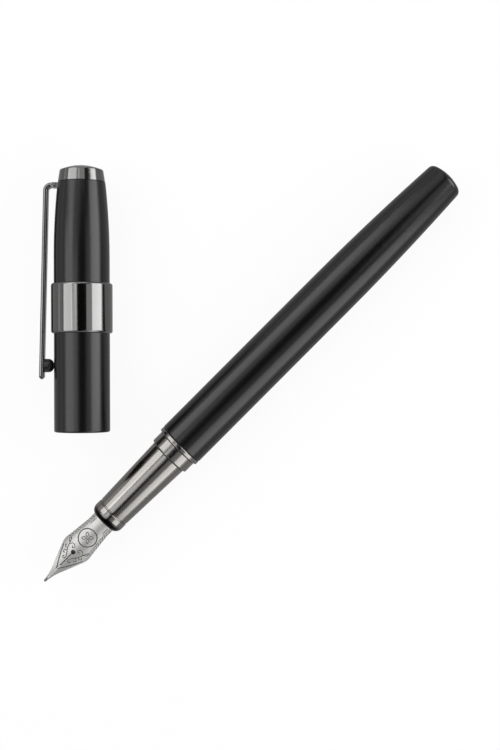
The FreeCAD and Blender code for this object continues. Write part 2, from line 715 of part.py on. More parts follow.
def make_flange_ring():
    """Thin flange ring between the collar and the barrel."""
    bore, outer, soft = spigot_radius + S["running_fit"], flange_radius, S["edge_round"]
    turned_part(
        "flange_ring",
        PEN_PLACE,
        [
            (flange_front, bore),
            (flange_rear, bore),
            (flange_rear, outer - soft, soft, 1),
            (flange_rear - soft, outer),
            (flange_front + soft, outer, soft, 1),
            (flange_front, outer - soft),
        ],
    )


def make_section_core():
    """Core of the section: sleeve in the grip, land under the rings, and the threaded spigot."""
    body = new_body("section_core", PEN_PLACE)
    land, soft = spigot_radius, S["edge_round"]
    land_rear = barrel_front + S["seal_length"]
    revolve(
        body,
        [
            (core_front, core_bore),
            (core_rear, core_bore),
            (core_rear, thread_root - soft),
            (core_rear - soft, thread_root),
            (land_rear, thread_root),
            (land_rear, land),
            (collar_front, land),
            (collar_front, core_radius),
            (core_front, core_radius),
        ],
    )
    doc.recompute()
    ridge = new_sketch(body, "thread_profile", "XY_Plane")
    start = barrel_front + S["thread_start"]
    foot = thread_root - S["seam"]
    draw_outline(
        ridge,
        [
            (start - S["thread_foot"], foot),
            (start + S["thread_foot"], foot),
            (start + S["thread_crest"], land),
            (start - S["thread_crest"], land),
        ],
    )
    before = body.Shape.Volume
    thread = body.newObject("PartDesign::AdditiveHelix", "thread")
    thread.Profile = ridge
    thread.ReferenceAxis = (ridge, ["H_Axis"])
    thread.Mode = "pitch-height-angle"
    bind(thread, "Pitch", S["thread_pitch"])
    bind(thread, "Height", S["thread_length"])
    doc.recompute()
    if body.Shape.Volume <= before + 1e-6:
        raise RuntimeError("the thread added nothing")


def make_thread_seal():
    """Flat ring between the flange and the threaded bush."""
    rear = barrel_front + S["seal_length"] - S["seam"]
    bore = spigot_radius + S["running_fit"]
    outer = bush_radius - S["running_fit"]
    turned_part(
        "thread_seal",
        PEN_PLACE,
        [(barrel_front, bore), (rear, bore), (rear, outer), (barrel_front, outer)],
    )


# ---------------------------------------------------------------- barrel


def make_barrel_tube():
    """Lacquered barrel: a cylinder, then a long arc down to the end."""
    soft = S["edge_round"]
    bush_rear = barrel_front + S["seal_length"] + S["bush_length"]
    drop = barrel_radius - barrel_rear_radius
    turned_part(
        "barrel_tube",
        PEN_PLACE,
        [
            (barrel_front, bush_radius + S["press_fit"]),
            (bush_rear, bush_radius + S["press_fit"]),
            (bush_rear, barrel_bore),
            (barrel_rear, barrel_bore),
            (barrel_rear, barrel_rear_radius, sagitta_radius(S["barrel_taper"], drop), 1),
            (taper_start, barrel_radius),
            (barrel_front + soft, barrel_radius, soft, 1),
            (barrel_front, barrel_radius - soft),
        ],
    )


def make_barrel_bush():
    """Insert in the barrel's mouth that screws on the section's spigot."""
    front = barrel_front + S["seal_length"]
    rear = front + S["bush_length"]
    bore, lead = spigot_radius + S["running_fit"], S["edge_round"]
    turned_part(
        "barrel_bush",
        PEN_PLACE,
        [
            (front, bore + lead),
            (front + lead, bore),
            (rear, bore),
            (rear, bush_radius),
            (front, bush_radius),
        ],
    )


def make_barrel_end_plug():
    """Solid plug with a rounded edge and a shallow dome."""
    shoulder_radius = barrel_rear_radius - S["plug_edge_drop"]
    reach = barrel_bore - S["press_fit"]
    turned_part(
        "barrel_end_plug",
        PEN_PLACE,
        [
            (barrel_rear - S["plug_reach"], 0),
            (pen_end, 0, sagitta_radius(shoulder_radius, S["plug_dome"]), 1),
            (plug_shoulder, shoulder_radius, S["plug_edge_radius"], 1),
            (barrel_rear, barrel_rear_radius),
            (barrel_rear, reach),
            (barrel_rear - S["plug_reach"], reach),
        ],
    )


# ---------------------------------------------------------------- converter


def make_converter_mouth():
    """Plug at the front of the converter, with the socket that grips the nipple."""
    socket = S["nipple_radius"] + S["running_fit"]
    socket_rear = mouth_front + S["mouth_socket"]
    channel, soft = S["mouth_channel_radius"], S["edge_round"]
    inside = reservoir_bore - S["press_fit"]
    turned_part(
        "converter_mouth",
        PEN_PLACE,
        [
            (mouth_front, socket),
            (socket_rear, socket),
            (socket_rear, channel),
            (mouth_rear, channel),
            (mouth_rear, inside),
            (mouth_shoulder, inside),
            (mouth_shoulder, S["converter_radius"]),
            (mouth_front + soft, S["converter_radius"], soft, 1),
            (mouth_front, S["converter_radius"] - soft),
        ],
    )


def make_converter_reservoir():
    """Clear ink tube."""
    outer = S["converter_radius"]
    turned_part(
        "converter_reservoir",
        PEN_PLACE,
        [
            (reservoir_front, reservoir_bore),
            (reservoir_rear, reservoir_bore),
            (reservoir_rear, outer),
            (reservoir_front, outer),
        ],
    )


def make_converter_guide():
    """Black bush that closes the tube, guides the stem and carries the knob on its neck."""
    bore = S["stem_radius"] + S["running_fit"]
    inside = reservoir_bore - S["press_fit"]
    body_front = reservoir_rear + S["seam"]
    turned_part(
        "converter_guide",
        PEN_PLACE,
        [
            (guide_front, bore),
            (guide_rear, bore),
            (guide_rear, S["guide_neck_radius"]),
            (guide_shoulder, S["guide_neck_radius"]),
            (guide_shoulder, S["converter_radius"]),
            (body_front, S["converter_radius"]),
            (body_front, inside),
            (guide_front, inside),
        ],
    )


def make_converter_sleeve():
    """Metal sleeve over the rear of the tube and the guide."""
    bore = S["converter_radius"] + S["press_fit"]
    outer, soft = sleeve_radius, S["edge_round"] / 2
    turned_part(
        "converter_sleeve",
        PEN_PLACE,
        [
            (sleeve_front, bore),
            (sleeve_rear, bore),
            (sleeve_rear, outer - soft),
            (sleeve_rear - soft, outer),
            (sleeve_front + soft, outer),
            (sleeve_front, outer - soft),
        ],
    )


def make_converter_knob():
    """Hollow fluted knob that turns on the guide's neck."""
    body = new_body("converter_knob", PEN_PLACE)
    neck = S["guide_neck_radius"] + S["neck_play"]
    cavity = S["stem_radius"] + S["knob_play"]
    neck_rear = guide_rear + S["knob_gap"]
    seat = S["spindle_radius"] + S["press_fit"]
    outer, soft = S["knob_radius"], S["knob_round"]
    revolve(
        body,
        [
            (knob_front, neck),
            (neck_rear, neck),
            (neck_rear, cavity),
            (knob_cavity_rear, cavity),
            (knob_cavity_rear, seat),
            (spindle_rear, seat),
            (spindle_rear, 0),
            (knob_rear, 0),
            (knob_rear, outer - soft, soft, 1),
            (knob_rear - soft, outer),
            (knob_front, outer),
        ],
    )
    flute = new_sketch(body, "knob_flute_outline", "YZ_Plane", (0, 0, neck_rear + soft))
    draw_circle(flute, 0, outer + S["knob_flute_rise"], S["knob_flute_radius"])
    flute_cut = cut_through(body, flute, "knob_flute", midplane=False, reverse=True)
    flutes = body.newObject("PartDesign::PolarPattern", "knob_flutes")
    flutes.Originals = [flute_cut]
    flutes.Axis = (flute, ["N_Axis"])
    flutes.Angle = 360
    bind(flutes, "Occurrences", S["knob_flutes"])
    body.Tip = flutes


def make_converter_spindle():
    """Spindle fixed in the knob; it turns inside the hollow stem and winds the piston."""
    radius, soft = S["spindle_radius"], S["edge_round"]
    turned_part(
        "converter_spindle",
        PEN_PLACE,
        [
            (spindle_front, 0),
            (spindle_rear, 0),
            (spindle_rear, radius),
            (spindle_front + soft, radius),
            (spindle_front, radius - soft),
        ],
    )


def make_converter_piston():
    """Piston with two sealing lips and a waist, and the seat of its stem."""
    lip = reservoir_bore - S["piston_fit"]
    waist, lip_length = lip - S["piston_waist_drop"], S["piston_lip_length"]
    seat = S["stem_radius"] + S["press_fit"]
    turned_part(
        "converter_piston",
        PEN_PLACE,
        [
            (piston_front, 0),
            (stem_front, 0),
            (stem_front, seat),
            (piston_rear, seat),
            (piston_rear, lip),
            (piston_rear - lip_length, lip),
            (piston_rear - lip_length, waist),
            (piston_front + lip_length, waist),
            (piston_front + lip_length, lip),
            (piston_front + S["edge_round"], lip),
            (piston_front, lip - S["edge_round"]),
        ],
    )


def make_piston_stem():
    """Hollow stem that the spindle reaches into."""
    bore = S["stem_radius"] - S["stem_wall"]
    bore_front = stem_front + S["stem_floor"]
    turned_part(
        "piston_stem",
        PEN_PLACE,
        [
            (stem_front, 0),
            (bore_front, 0),
            (bore_front, bore),
            (stem_rear, bore),
            (stem_rear, S["stem_radius"]),
            (stem_front, S["stem_radius"]),
        ],
    )


# ---------------------------------------------------------------- cap


def make_cap_tube():
    """Lacquered cap tube with its inner wall, the clutch recess and the slot for the clip's leg."""
    body = new_body("cap_tube", CAP_PLACE)
    outer, bore, soft = cap_radius, cap_bore, S["cap_mouth_round"]
    clutch_rear = S["clutch_at"] + S["clutch_length"]
    recess = clutch_radius + S["press_fit"]
    screw_hole = S["screw_radius"] + S["press_fit"]
    drop = outer - cap_top_radius
    revolve(
        body,
        [
            (0, bore),
            (S["clutch_at"], bore),
            (S["clutch_at"], recess),
            (clutch_rear, recess),
            (clutch_rear, bore),
            (cap_floor_front, bore),
            (cap_floor_front, screw_hole),
            (cap_floor_top, screw_hole),
            (cap_floor_top, S["cap_head_bore"]),
            (tube_top, S["cap_head_bore"]),
            (tube_top, cap_top_radius, sagitta_radius(S["cap_taper"], drop), 1),
            (cap_taper_start, outer),
            (soft, outer, soft, 1),
            (0, outer - soft),
        ],
    )
    slot = new_sketch(body, "clip_slot_outline", "XY_Plane")
    top, under = tube_top + S["seam"], clip_ring_under - S["seam"]
    draw_outline(slot, [(under, 0), (top, 0), (top, outer), (under, outer)])
    doc.recompute()
    before = body.Shape.Volume
    cut = body.newObject("PartDesign::Pocket", "clip_slot")
    cut.Profile = slot
    cut.Midplane = True
    bind(cut, "Length", S["clip_width"] + S["clip_slot_play"])
    doc.recompute()
    if body.Shape.Volume >= before - 1e-6:
        raise RuntimeError("the clip slot removed nothing")


def make_cap_band():
    """Broad polished band round the cap."""
    bore, outer, soft = cap_radius + S["press_fit"], band_radius, S["band_round"]
    front, rear = S["band_at"], S["band_at"] + S["band_length"]
    turned_part(
        "cap_band",
        CAP_PLACE,
        [
            (front, bore),
            (rear, bore),
            (rear, outer - soft, soft, 1),
            (rear - soft, outer),
            (front + soft, outer, soft, 1),
            (front, outer - soft),
        ],
    )


def make_clutch_ring():
    """Split spring ring in the cap's mouth that grips the collar."""
    body = new_body("clutch_ring", CAP_PLACE)
    bore, outer = clutch_bore, clutch_radius
    front = S["clutch_at"] + S["seam"]
    rear = S["clutch_at"] + S["clutch_length"] - S["seam"]
    revolve(body, [(front, bore), (rear, bore), (rear, outer), (front, outer)])
    gap = new_sketch(body, "clutch_gap_outline", "XY_Plane")
    half = S["clutch_gap"] / 2
    lower = S["clutch_at"] - S["seam"]
    upper = S["clutch_at"] + S["clutch_length"] + S["seam"]
    draw_outline(gap, [(lower, -half), (upper, -half), (upper, half), (lower, half)])
    cut_through(body, gap, "clutch_gap_cut", midplane=False, reverse=True)


def make_cap_liner():
    """Black inner cap that closes over the nib."""
    outer = cap_bore - S["press_fit"]
    bore, lead = outer - S["liner_wall"], S["liner_lead"]
    hole = S["screw_radius"] + S["press_fit"]
    turned_part(
        "cap_liner",
        CAP_PLACE,
        [
            (liner_front, bore + lead),
            (liner_front + lead, bore),
            (liner_floor_front, bore),
            (liner_floor_front, hole),
            (liner_rear, hole),
            (liner_rear, outer),
            (liner_front, outer),
        ],
    )


def make_clip_spacer():
    """Bush in the cap's head that holds the clip ring up."""
    bore = S["screw_radius"] + S["press_fit"]
    outer = S["cap_head_bore"] - S["press_fit"]
    turned_part(
        "clip_spacer",
        CAP_PLACE,
        [
            (cap_floor_top, bore),
            (clip_ring_under, bore),
            (clip_ring_under, outer),
            (cap_floor_top, outer),
        ],
    )


def make_clip_ring():
    """Washer under the finial, with the leg that carries the clip out through the slot."""
    body = new_body("clip_ring", CAP_PLACE)
    bore = S["screw_radius"] + S["press_fit"]
    outer = S["cap_head_bore"] - S["press_fit"]
    revolve(
        body,
        [
            (clip_ring_under, bore),
            (tube_top, bore),
            (tube_top, outer),
            (clip_ring_under, outer),
        ],
    )
    leg = new_sketch(body, "clip_leg_outline", "XY_Plane")
    inner = (bore + outer) / 2
    draw_outline(
        leg,
        [
            (clip_ring_under, inner),
            (tube_top, inner),
            (tube_top, clip_leg_end),
            (clip_ring_under, clip_leg_end),
        ],
    )
    pad = body.newObject("PartDesign::Pad", "clip_leg")
    pad.Profile = leg
    pad.Midplane = True
    bind(pad, "Length", S["clip_width"])


def make_finial_screw():
    """Screw from inside the liner up into the finial, with a driver slot in its head."""
    body = new_body("finial_screw", CAP_PLACE)
    end = finial_foot + S["screw_grip"]
    shank, head, lead = S["screw_radius"], S["screw_head_radius"], S["edge_round"]
    revolve(
        body,
        [
            (screw_head_front, 0),
            (end, 0),
            (end, shank - lead),
            (end - lead, shank),
            (liner_floor_front, shank),
            (liner_floor_front, head),
            (screw_head_front, head),
        ],
    )
    slot = new_sketch(body, "driver_slot_outline", "XY_Plane")
    half = S["screw_slot"] / 2
    front, depth = screw_head_front - S["seam"], screw_head_front + S["screw_slot_depth"]
    draw_outline(slot, [(front, -half), (depth, -half), (depth, half), (front, half)])
    cut_through(body, slot, "driver_slot")


def make_finial():
    """Polished top of the cap: a slight cone with a shallow dome, bored for its screw."""
    bore = S["screw_radius"] + S["press_fit"]
    bore_end = finial_foot + S["screw_grip"] + S["seam"]
    edge_radius = finial_top_radius - S["finial_round"]
    soft = S["edge_round"] / 2
    turned_part(
        "finial",
        CAP_PLACE,
        [
            (finial_foot, bore),
            (bore_end, bore),
            (bore_end, 0),
            (finial_top, 0, sagitta_radius(edge_radius, S["finial_dome"]), 1),
            (finial_edge, edge_radius, S["finial_round"], 1),
            (finial_shoulder, finial_top_radius),
            (finial_foot + soft, finial_radius),
            (finial_foot, finial_radius - soft),
        ],
    )


# ---------------------------------------------------------------- clip


def make_clip_arm():
    """Thin rounded strip: out of the leg, round the bend and down the cap."""
    body = new_body("clip_arm", CAP_PLACE)
    thick, bend = S["clip_thickness"], S["clip_bend_radius"]
    inner_bend = bend - thick
    inside = clip_leg_end + S["clip_joint_gap"]
    near, far = clip_near_face, clip_far_face
    outline = new_sketch(body, "clip_arm_outline", "XY_Plane")
    draw_outline(
        outline,
        [
            (tube_top, inside),
            (tube_top, near - bend, bend, 1),
            (tube_top - bend, near),
            (clip_end, far),
            (clip_end, far - thick),
            (tube_top - bend, near - thick, inner_bend, -1),
            (clip_ring_under, near - bend),
            (clip_ring_under, inside),
        ],
    )
    pad = body.newObject("PartDesign::Pad", "clip_strip")
    pad.Profile = outline
    pad.Midplane = True
    bind(pad, "Length", S["clip_width"])
    half = S["clip_width"].value / 2
    root_face = inside.value

    def along_the_sides(edge):
        box = edge.BoundBox
        flat = box.ZLength < 1e-6 and abs(abs(box.ZMin) - half) < 1e-6
        return flat and not (abs(box.YMin - root_face) < 1e-6 and box.YLength < 1e-6)

    round_edges(body, S["clip_edge_round"], along_the_sides)


def make_clip_bead():
    """Dark stud under the clip's end: a short cylinder with a domed nose toward the tube."""
    body = new_body("clip_bead", CAP_PLACE)
    run = (tube_top - S["clip_bend_radius"]) - clip_end
    lean = (clip_far_face - clip_near_face) / run
    from_bend = (tube_top - S["clip_bend_radius"]) - bead_middle
    reach = S["bead_radius"] * lean
    seat = clip_near_face - S["clip_thickness"] + lean * from_bend - reach
    nose = cap_radius + S["bead_gap"]
    skirt = seat - S["bead_skirt"]
    dome = sagitta_radius(S["bead_radius"] - S["bead_nose_radius"], skirt - nose)
    revolve(
        body,
        [
            (0, seat),
            (0, nose),
            (S["bead_nose_radius"], nose, dome, 1),
            (S["bead_radius"], skirt),
            (S["bead_radius"], seat),
        ],
        (bead_middle, 0, 0),
        "V_Axis",
    )


make_nib()
make_nib_pellet()
make_feed()
make_nib_housing()
make_lip_ring()
make_grip_shell()
make_collar_ring()
make_section_core()
make_flange_ring()
make_thread_seal()
make_barrel_tube()
make_barrel_bush()
make_barrel_end_plug()
make_converter_mouth()
make_converter_reservoir()
make_converter_guide()
make_converter_sleeve()
make_converter_knob()
make_converter_spindle()
make_converter_piston()
make_piston_stem()
make_cap_tube()
make_cap_band()
make_clutch_ring()
make_cap_liner()
make_clip_spacer()
make_clip_ring()
make_finial_screw()
make_finial()
make_clip_arm()
make_clip_bead()

doc.recompute()
for thing in doc.Objects:
    if "Invalid" in thing.State or "Error" in thing.State:
        raise RuntimeError(f"{thing.Label} failed: {thing.State}")
for body in sub_parts:
    if body.Shape.isNull() or not body.Shape.isValid() or body.Shape.Volume <= 0:
        raise RuntimeError(f"{body.Label} has no valid shape")

os.makedirs("parts", exist_ok=True)
for body in sub_parts:
    body.Shape.exportStep(f"parts/{body.Label}.step")
    box = body.Shape.BoundBox
    spans = [f"{low:7.2f} {high:7.2f}" for low, high in ((box.XMin, box.XMax), (box.YMin, box.YMax))]
    print(f"{body.Label:22s} solids {len(body.Shape.Solids)} volume {body.Shape.Volume:9.3f}", *spans)
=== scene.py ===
"""Looks of an uncapped fountain pen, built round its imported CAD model.

Every size is in metres, in the model's own frame.  Local places on the pen are (along, aside, up):
from the nib's tip toward the barrel's end, across the table, and up from the pen's axis.  Local
places on the cap are the same, from its mouth toward the finial, with the clip standing aside.
"""

import json
import math

import bmesh
import bpy
import numpy as np
from mathutils import Matrix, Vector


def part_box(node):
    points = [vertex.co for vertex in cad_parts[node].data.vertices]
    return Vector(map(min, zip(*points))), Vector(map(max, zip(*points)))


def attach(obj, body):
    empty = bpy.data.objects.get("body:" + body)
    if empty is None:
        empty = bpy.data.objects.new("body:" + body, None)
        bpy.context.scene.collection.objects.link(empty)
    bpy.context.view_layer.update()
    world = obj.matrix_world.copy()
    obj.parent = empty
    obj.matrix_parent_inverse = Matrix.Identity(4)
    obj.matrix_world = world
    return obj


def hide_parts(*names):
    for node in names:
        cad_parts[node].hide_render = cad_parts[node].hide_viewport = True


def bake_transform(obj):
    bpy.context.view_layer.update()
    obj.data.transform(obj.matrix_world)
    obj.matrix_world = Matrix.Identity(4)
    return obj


bl_info = {
    "name": "Fountain Pen Looks",
    "version": (1, 0, 0),
    "blender": (4, 5, 0),
    "location": "3D View > Sidebar > Fountain Pen",
    "description": "Engraved nib, bent clip, lacquer and plated finishes on a fountain pen's frame",
    "category": "Object",
}

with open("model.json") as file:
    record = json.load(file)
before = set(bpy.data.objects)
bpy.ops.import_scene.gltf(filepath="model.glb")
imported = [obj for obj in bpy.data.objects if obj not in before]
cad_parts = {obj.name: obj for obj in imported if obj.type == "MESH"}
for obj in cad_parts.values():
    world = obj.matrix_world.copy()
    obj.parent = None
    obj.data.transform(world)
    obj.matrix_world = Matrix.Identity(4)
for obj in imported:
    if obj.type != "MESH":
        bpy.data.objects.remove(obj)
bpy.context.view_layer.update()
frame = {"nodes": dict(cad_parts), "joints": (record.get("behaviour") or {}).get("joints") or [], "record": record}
MM = 0.001


# ---------------------------------------------------------------- places


def node_points(node):
    """The points of a CAD node's mesh, in the frame."""
    mesh = frame["nodes"][node].data
    points = np.empty(len(mesh.vertices) * 3, np.float32)
    mesh.vertices.foreach_get("co", points)
    return points.reshape(-1, 3)


def pen_axes():
    """The pen's origin, at the nib's tip on its axis, and its along, aside and up directions."""
    tip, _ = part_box("nib_pellet")
    low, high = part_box("barrel_tube")
    origin = np.array([tip.x, (low.y + high.y) / 2, (low.z + high.z) / 2])
    return origin, np.eye(3)


def cap_axes():
    """The cap's origin, at its mouth on its axis, and its along, aside and up directions."""
    joint = next(j for j in frame["joints"] if j["name"] == "cap_draw_off")
    along = np.array(joint["axis"], float)
    along /= np.linalg.norm(along)
    up = np.array([0.0, 0.0, 1.0])
    aside = np.cross(up, along)
    mount = next(m for m in frame["record"]["mounts"] if m["name"] == "cap_mouth")
    middle = np.array(mount["pos_m"], float)
    mouth = ((node_points("cap_tube") - middle) @ along).min()
    return middle + mouth * along, np.stack([along, aside, up])


PEN_ORIGIN, PEN_TURN = pen_axes()
CAP_ORIGIN, CAP_TURN = cap_axes()


def on_pen(points):
    """Local pen places as places in the frame."""
    return PEN_ORIGIN + np.asarray(points, float) @ PEN_TURN


def on_cap(points):
    """Local cap places as places in the frame."""
    return CAP_ORIGIN + np.asarray(points, float) @ CAP_TURN


# ---------------------------------------------------------------- sizes and colours


def length(name, default, about):
    """A length property in metres."""
    return bpy.props.FloatProperty(
        name=name, description=about, default=default, min=0.0, subtype="DISTANCE", unit="LENGTH"
    )


def colour(name, default, about):
    """A colour property, in linear values."""
    return bpy.props.FloatVectorProperty(
        name=name, description=about, default=default, size=3, min=0.0, max=1.0, subtype="COLOR"
    )


class NibSizes(bpy.types.PropertyGroup):
    """Sizes of the nib's sheet and of the lines cut into it."""

    sheet: length("Sheet", 0.35 * MM, "Thickness of the steel sheet")
    edge: length("Edge", 0.08 * MM, "Rounding of the sheet's outer edges")
    slit: length("Slit", 0.12 * MM, "Width of the slit between the tines")
    breather_at: length("Breather place", 9.2 * MM, "Tip to the middle of the breather hole")
    breather: length("Breather radius", 0.52 * MM, "Radius of the breather hole")
    spread: length("Roll radius", 3.9 * MM, "Radius of the sheet ahead of the grip")
    tail: length("Tail radius", 2.95 * MM, "Radius of the sheet inside the grip")
    cut_depth: length("Cut depth", 0.035 * MM, "Depth of the engraved lines")
    fine_line: length("Fine line", 0.19 * MM, "Width of the scroll lines")
    bold_line: length("Bold line", 0.27 * MM, "Width of the border lines")


class ClipSizes(bpy.types.PropertyGroup):
    """Sizes of the clip's bent strip."""

    thick: length("Thickness", 1.0 * MM, "Thickness of the strip")
    wide: length("Width", 2.6 * MM, "Width of the strip")
    rounding: length("Rounding", 0.42 * MM, "Rounding of the strip's edges")
    bend: length("Bend radius", 1.7 * MM, "Outer radius of the bend")
    near: length("Near stand", 8.09 * MM, "Cap axis to the outer face at the bend")
    far: length("Far stand", 9.10 * MM, "Cap axis to the outer face at the end")
    root: length("Root", 5.35 * MM, "Cap axis to the strip's start inside the slot")


class Finishes(bpy.types.PropertyGroup):
    """Colours of the pen's finishes."""

    lacquer: colour("Lacquer", (0.0012, 0.0012, 0.0013), "Satin black lacquer")
    gunmetal: colour("Gunmetal", (0.252, 0.244, 0.231), "Polished dark plating of the grip")
    ring_metal: colour("Ring metal", (0.190, 0.190, 0.188), "Polished dark plating of the cap")
    steel: colour("Steel", (0.56, 0.555, 0.54), "Bright steel of the nib")
    cut_steel: colour("Cut steel", (0.05, 0.05, 0.047), "Darkened steel in the engraved lines")
    plating: colour("Nickel", (0.55, 0.54, 0.52), "Nickel plated inner rings")
    brass: colour("Brass", (0.60, 0.42, 0.17), "Turned brass")
    plastic: colour("Plastic", (0.012, 0.012, 0.012), "Moulded black plastic")
    pale: colour("Pale plastic", (0.50, 0.50, 0.50), "Moulded pale plastic")
    rubber: colour("Rubber", (0.02, 0.02, 0.02), "Black rubber")


class StageSizes(bpy.types.PropertyGroup):
    """Camera, floor and lamps."""

    aim: length("Aim", 62.6 * MM, "Nib tip to the point under the camera")
    reach: length("Camera reach", 268.8 * MM, "Camera to the pen's axis")
    lens: bpy.props.FloatProperty(name="Lens", description="Focal length", default=60.0, unit="CAMERA")
    turn: bpy.props.FloatProperty(
        name="Turn", description="Turn of the camera about the upright",
        default=math.radians(-45.07), subtype="ANGLE", unit="ROTATION"
    )
    floor: colour("Floor", (0.92, 0.92, 0.92), "Pale matt floor")
    lamp_reach: length("Lamp reach", 0.5, "Object to each lamp's middle")
    lamp_level: bpy.props.FloatProperty(
        name="Lamp level", description="Scale of every lamp's brightness", default=1.0, min=0.0
    )


# ---------------------------------------------------------------- surfaces


def grid_faces(rows, columns, around=False):
    """Quads between neighbouring rows of a grid of points, numbered row by row.
    With around, the last column joins the first."""
    row = np.arange(rows - 1)[:, None]
    column = np.arange(columns if around else columns - 1)[None, :]
    after = (column + 1) % columns
    corners = [row * columns + column, row * columns + after,
               (row + 1) * columns + after, (row + 1) * columns + column]
    return np.stack(np.broadcast_arrays(*corners), axis=-1).reshape(-1, 4)


def make_piece(name, points, quads, triangles=(), material=None):
    """A smooth-shaded mesh object at the frame's origin from arrays of points and faces."""
    mesh = bpy.data.meshes.new(name)
    faces = [tuple(q) for q in np.asarray(quads, int).tolist()]
    faces += [tuple(t) for t in np.asarray(triangles, int).reshape(-1, 3).tolist()]
    mesh.from_pydata(np.asarray(points, float).tolist(), [], faces)
    if mesh.validate(verbose=False):
        raise RuntimeError(f"{name} has faces that Blender can't keep")
    mesh.polygons.foreach_set("use_smooth", np.ones(len(mesh.polygons), bool))
    mesh.update()
    piece = bpy.data.objects.new(name, mesh)
    bpy.context.scene.collection.objects.link(piece)
    if material:
        mesh.materials.append(material)
    return piece


def eased(t):
    """0 below 0 and 1 above 1, with a smooth turn between."""
    t = np.clip(t, 0.0, 1.0)
    return t * t * (3.0 - 2.0 * t)


def smooth_through(at, stations, heights):
    """A smooth curve through given heights: cubic pieces whose slope at each station is the mean
    of the slopes on both sides of it."""
    x, y = np.asarray(stations, float), np.asarray(heights, float)
    slope = np.gradient(y, x)
    i = np.clip(np.searchsorted(x, at) - 1, 0, len(x) - 2)
    span = x[i + 1] - x[i]
    t = np.clip((at - x[i]) / span, 0.0, 1.0)
    rise = y[i] * (2 * t**3 - 3 * t**2 + 1) + y[i + 1] * (3 * t**2 - 2 * t**3)
    return rise + span * (slope[i] * (t**3 - 2 * t**2 + t) + slope[i + 1] * (t**3 - t**2))


def arc_height(at, start, end, radius, side):
    """Height of the arc of a circle from start to end; side 1 bulges down, side -1 bulges up.
    The centre stands off the chord's middle by the root of radius squared less half chord squared."""
    start, end = np.array(start), np.array(end)
    chord = end - start
    size = np.hypot(*chord)
    left = np.array([-chord[1], chord[0]]) / size
    centre = (start + end) / 2 + left * side * math.sqrt(radius**2 - size**2 / 4)
    return centre[1] - side * np.sqrt(np.maximum(radius**2 - (at - centre[0]) ** 2, 0.0))


# ---------------------------------------------------------------- nib

# Places along the nib are measured from its tip, and half widths from the pen's axis.
PELLET_END = 0.9 * MM
NIB_END = 26.0 * MM
LIP_AT = 18.3 * MM
CUT_END = LIP_AT + 0.2 * MM
FLANK_END = (4.5 * MM, 1.38 * MM)
SHOULDER_START = (8.8 * MM, 3.15 * MM)
SHOULDER_END = (10.9 * MM, 3.34 * MM)
TAPER_END = (16.5 * MM, 2.73 * MM)
FRONT_HALF_WIDTH = 0.36 * MM
FLANK_RADIUS = 14.0 * MM
SHOULDER_RADIUS = 3.4 * MM
FACE_COLUMNS = 84
UNDERSIDE_COLUMNS = 9
CORNER_STEPS = 3
FRONT_STATIONS = 175
HOLE_STATIONS = 30
REAR_STATIONS = 200
TAIL_STATIONS = 9
CROWN_STATIONS = np.array([0.9, 4.0, 10.0, 18.3, 26.0]) * MM
CROWN_HEIGHTS = np.array([0.28, 1.13, 2.42, 2.95, 2.95]) * MM
# The sheet rolls through just under a quarter turn at most, and its face keeps some radians.
STEEPEST_SINE = 0.999
NARROWEST_FACE = 0.01
# Above 1, an engraved line has a flat bottom between steeper walls.
CUT_WALL_STEEPNESS = 1.6


def nib_half_width(x):
    """Half width of the nib's outline: a hollow flank, a straight flank, a rounded shoulder,
    a taper and a parallel tail."""
    flank = arc_height(x, (PELLET_END, FRONT_HALF_WIDTH), FLANK_END, FLANK_RADIUS, 1)
    shoulder = arc_height(x, SHOULDER_START, SHOULDER_END, SHOULDER_RADIUS, -1)
    corners = np.array([FLANK_END, SHOULDER_START, SHOULDER_END, TAPER_END])
    straight = np.interp(x, corners[:, 0], corners[:, 1])
    width = np.where(x < FLANK_END[0], flank, straight)
    return np.where((x > SHOULDER_START[0]) & (x < SHOULDER_END[0]), shoulder, width)


def nib_crown(x):
    """Height of the nib's face above the pen's axis, along its middle."""
    return smooth_through(x, CROWN_STATIONS, CROWN_HEIGHTS)


def nib_roll(x, sizes):
    """Radius that the sheet is rolled to: the tail's in the grip, the spread one ahead of it."""
    middle = CROWN_STATIONS[2]
    return sizes.spread + (sizes.tail - sizes.spread) * eased((x - middle) / (LIP_AT - middle))


def circle(centre, radius, count=64):
    """Points round a circle."""
    angle = np.linspace(0.0, 2 * math.pi, count)
    return np.stack([centre[0] + radius * np.cos(angle), centre[1] + radius * np.sin(angle)], axis=1)


def bow(start, middle, end, count=16):
    """Points of the quadratic curve from start to end that is drawn toward middle."""
    t = np.linspace(0.0, 1.0, count)[:, None]
    start, middle, end = (np.array(p, float) for p in (start, middle, end))
    return start * (1 - t) ** 2 + middle * 2 * t * (1 - t) + end * t**2


def curve_through(*places, count=9):
    """Points of a smooth curve through places: between two of them, the cubic whose slope at each
    is half the way from the place before it to the place after it."""
    p = np.array(places, float)
    p = np.concatenate([2 * p[:1] - p[1:2], p, 2 * p[-1:] - p[-2:-1]])
    t = np.linspace(0.0, 1.0, count)[:-1, None]
    before, start, end, after = (p[k:len(p) - 3 + k, None, :] for k in range(4))
    out, back = (end - before) / 2, (after - start) / 2
    runs = (start * (2 * t**3 - 3 * t**2 + 1) + end * (3 * t**2 - 2 * t**3)
            + out * (t**3 - 2 * t**2 + t) + back * (t**3 - t**2))
    return np.concatenate([runs.reshape(-1, 2), p[-2:-1]])


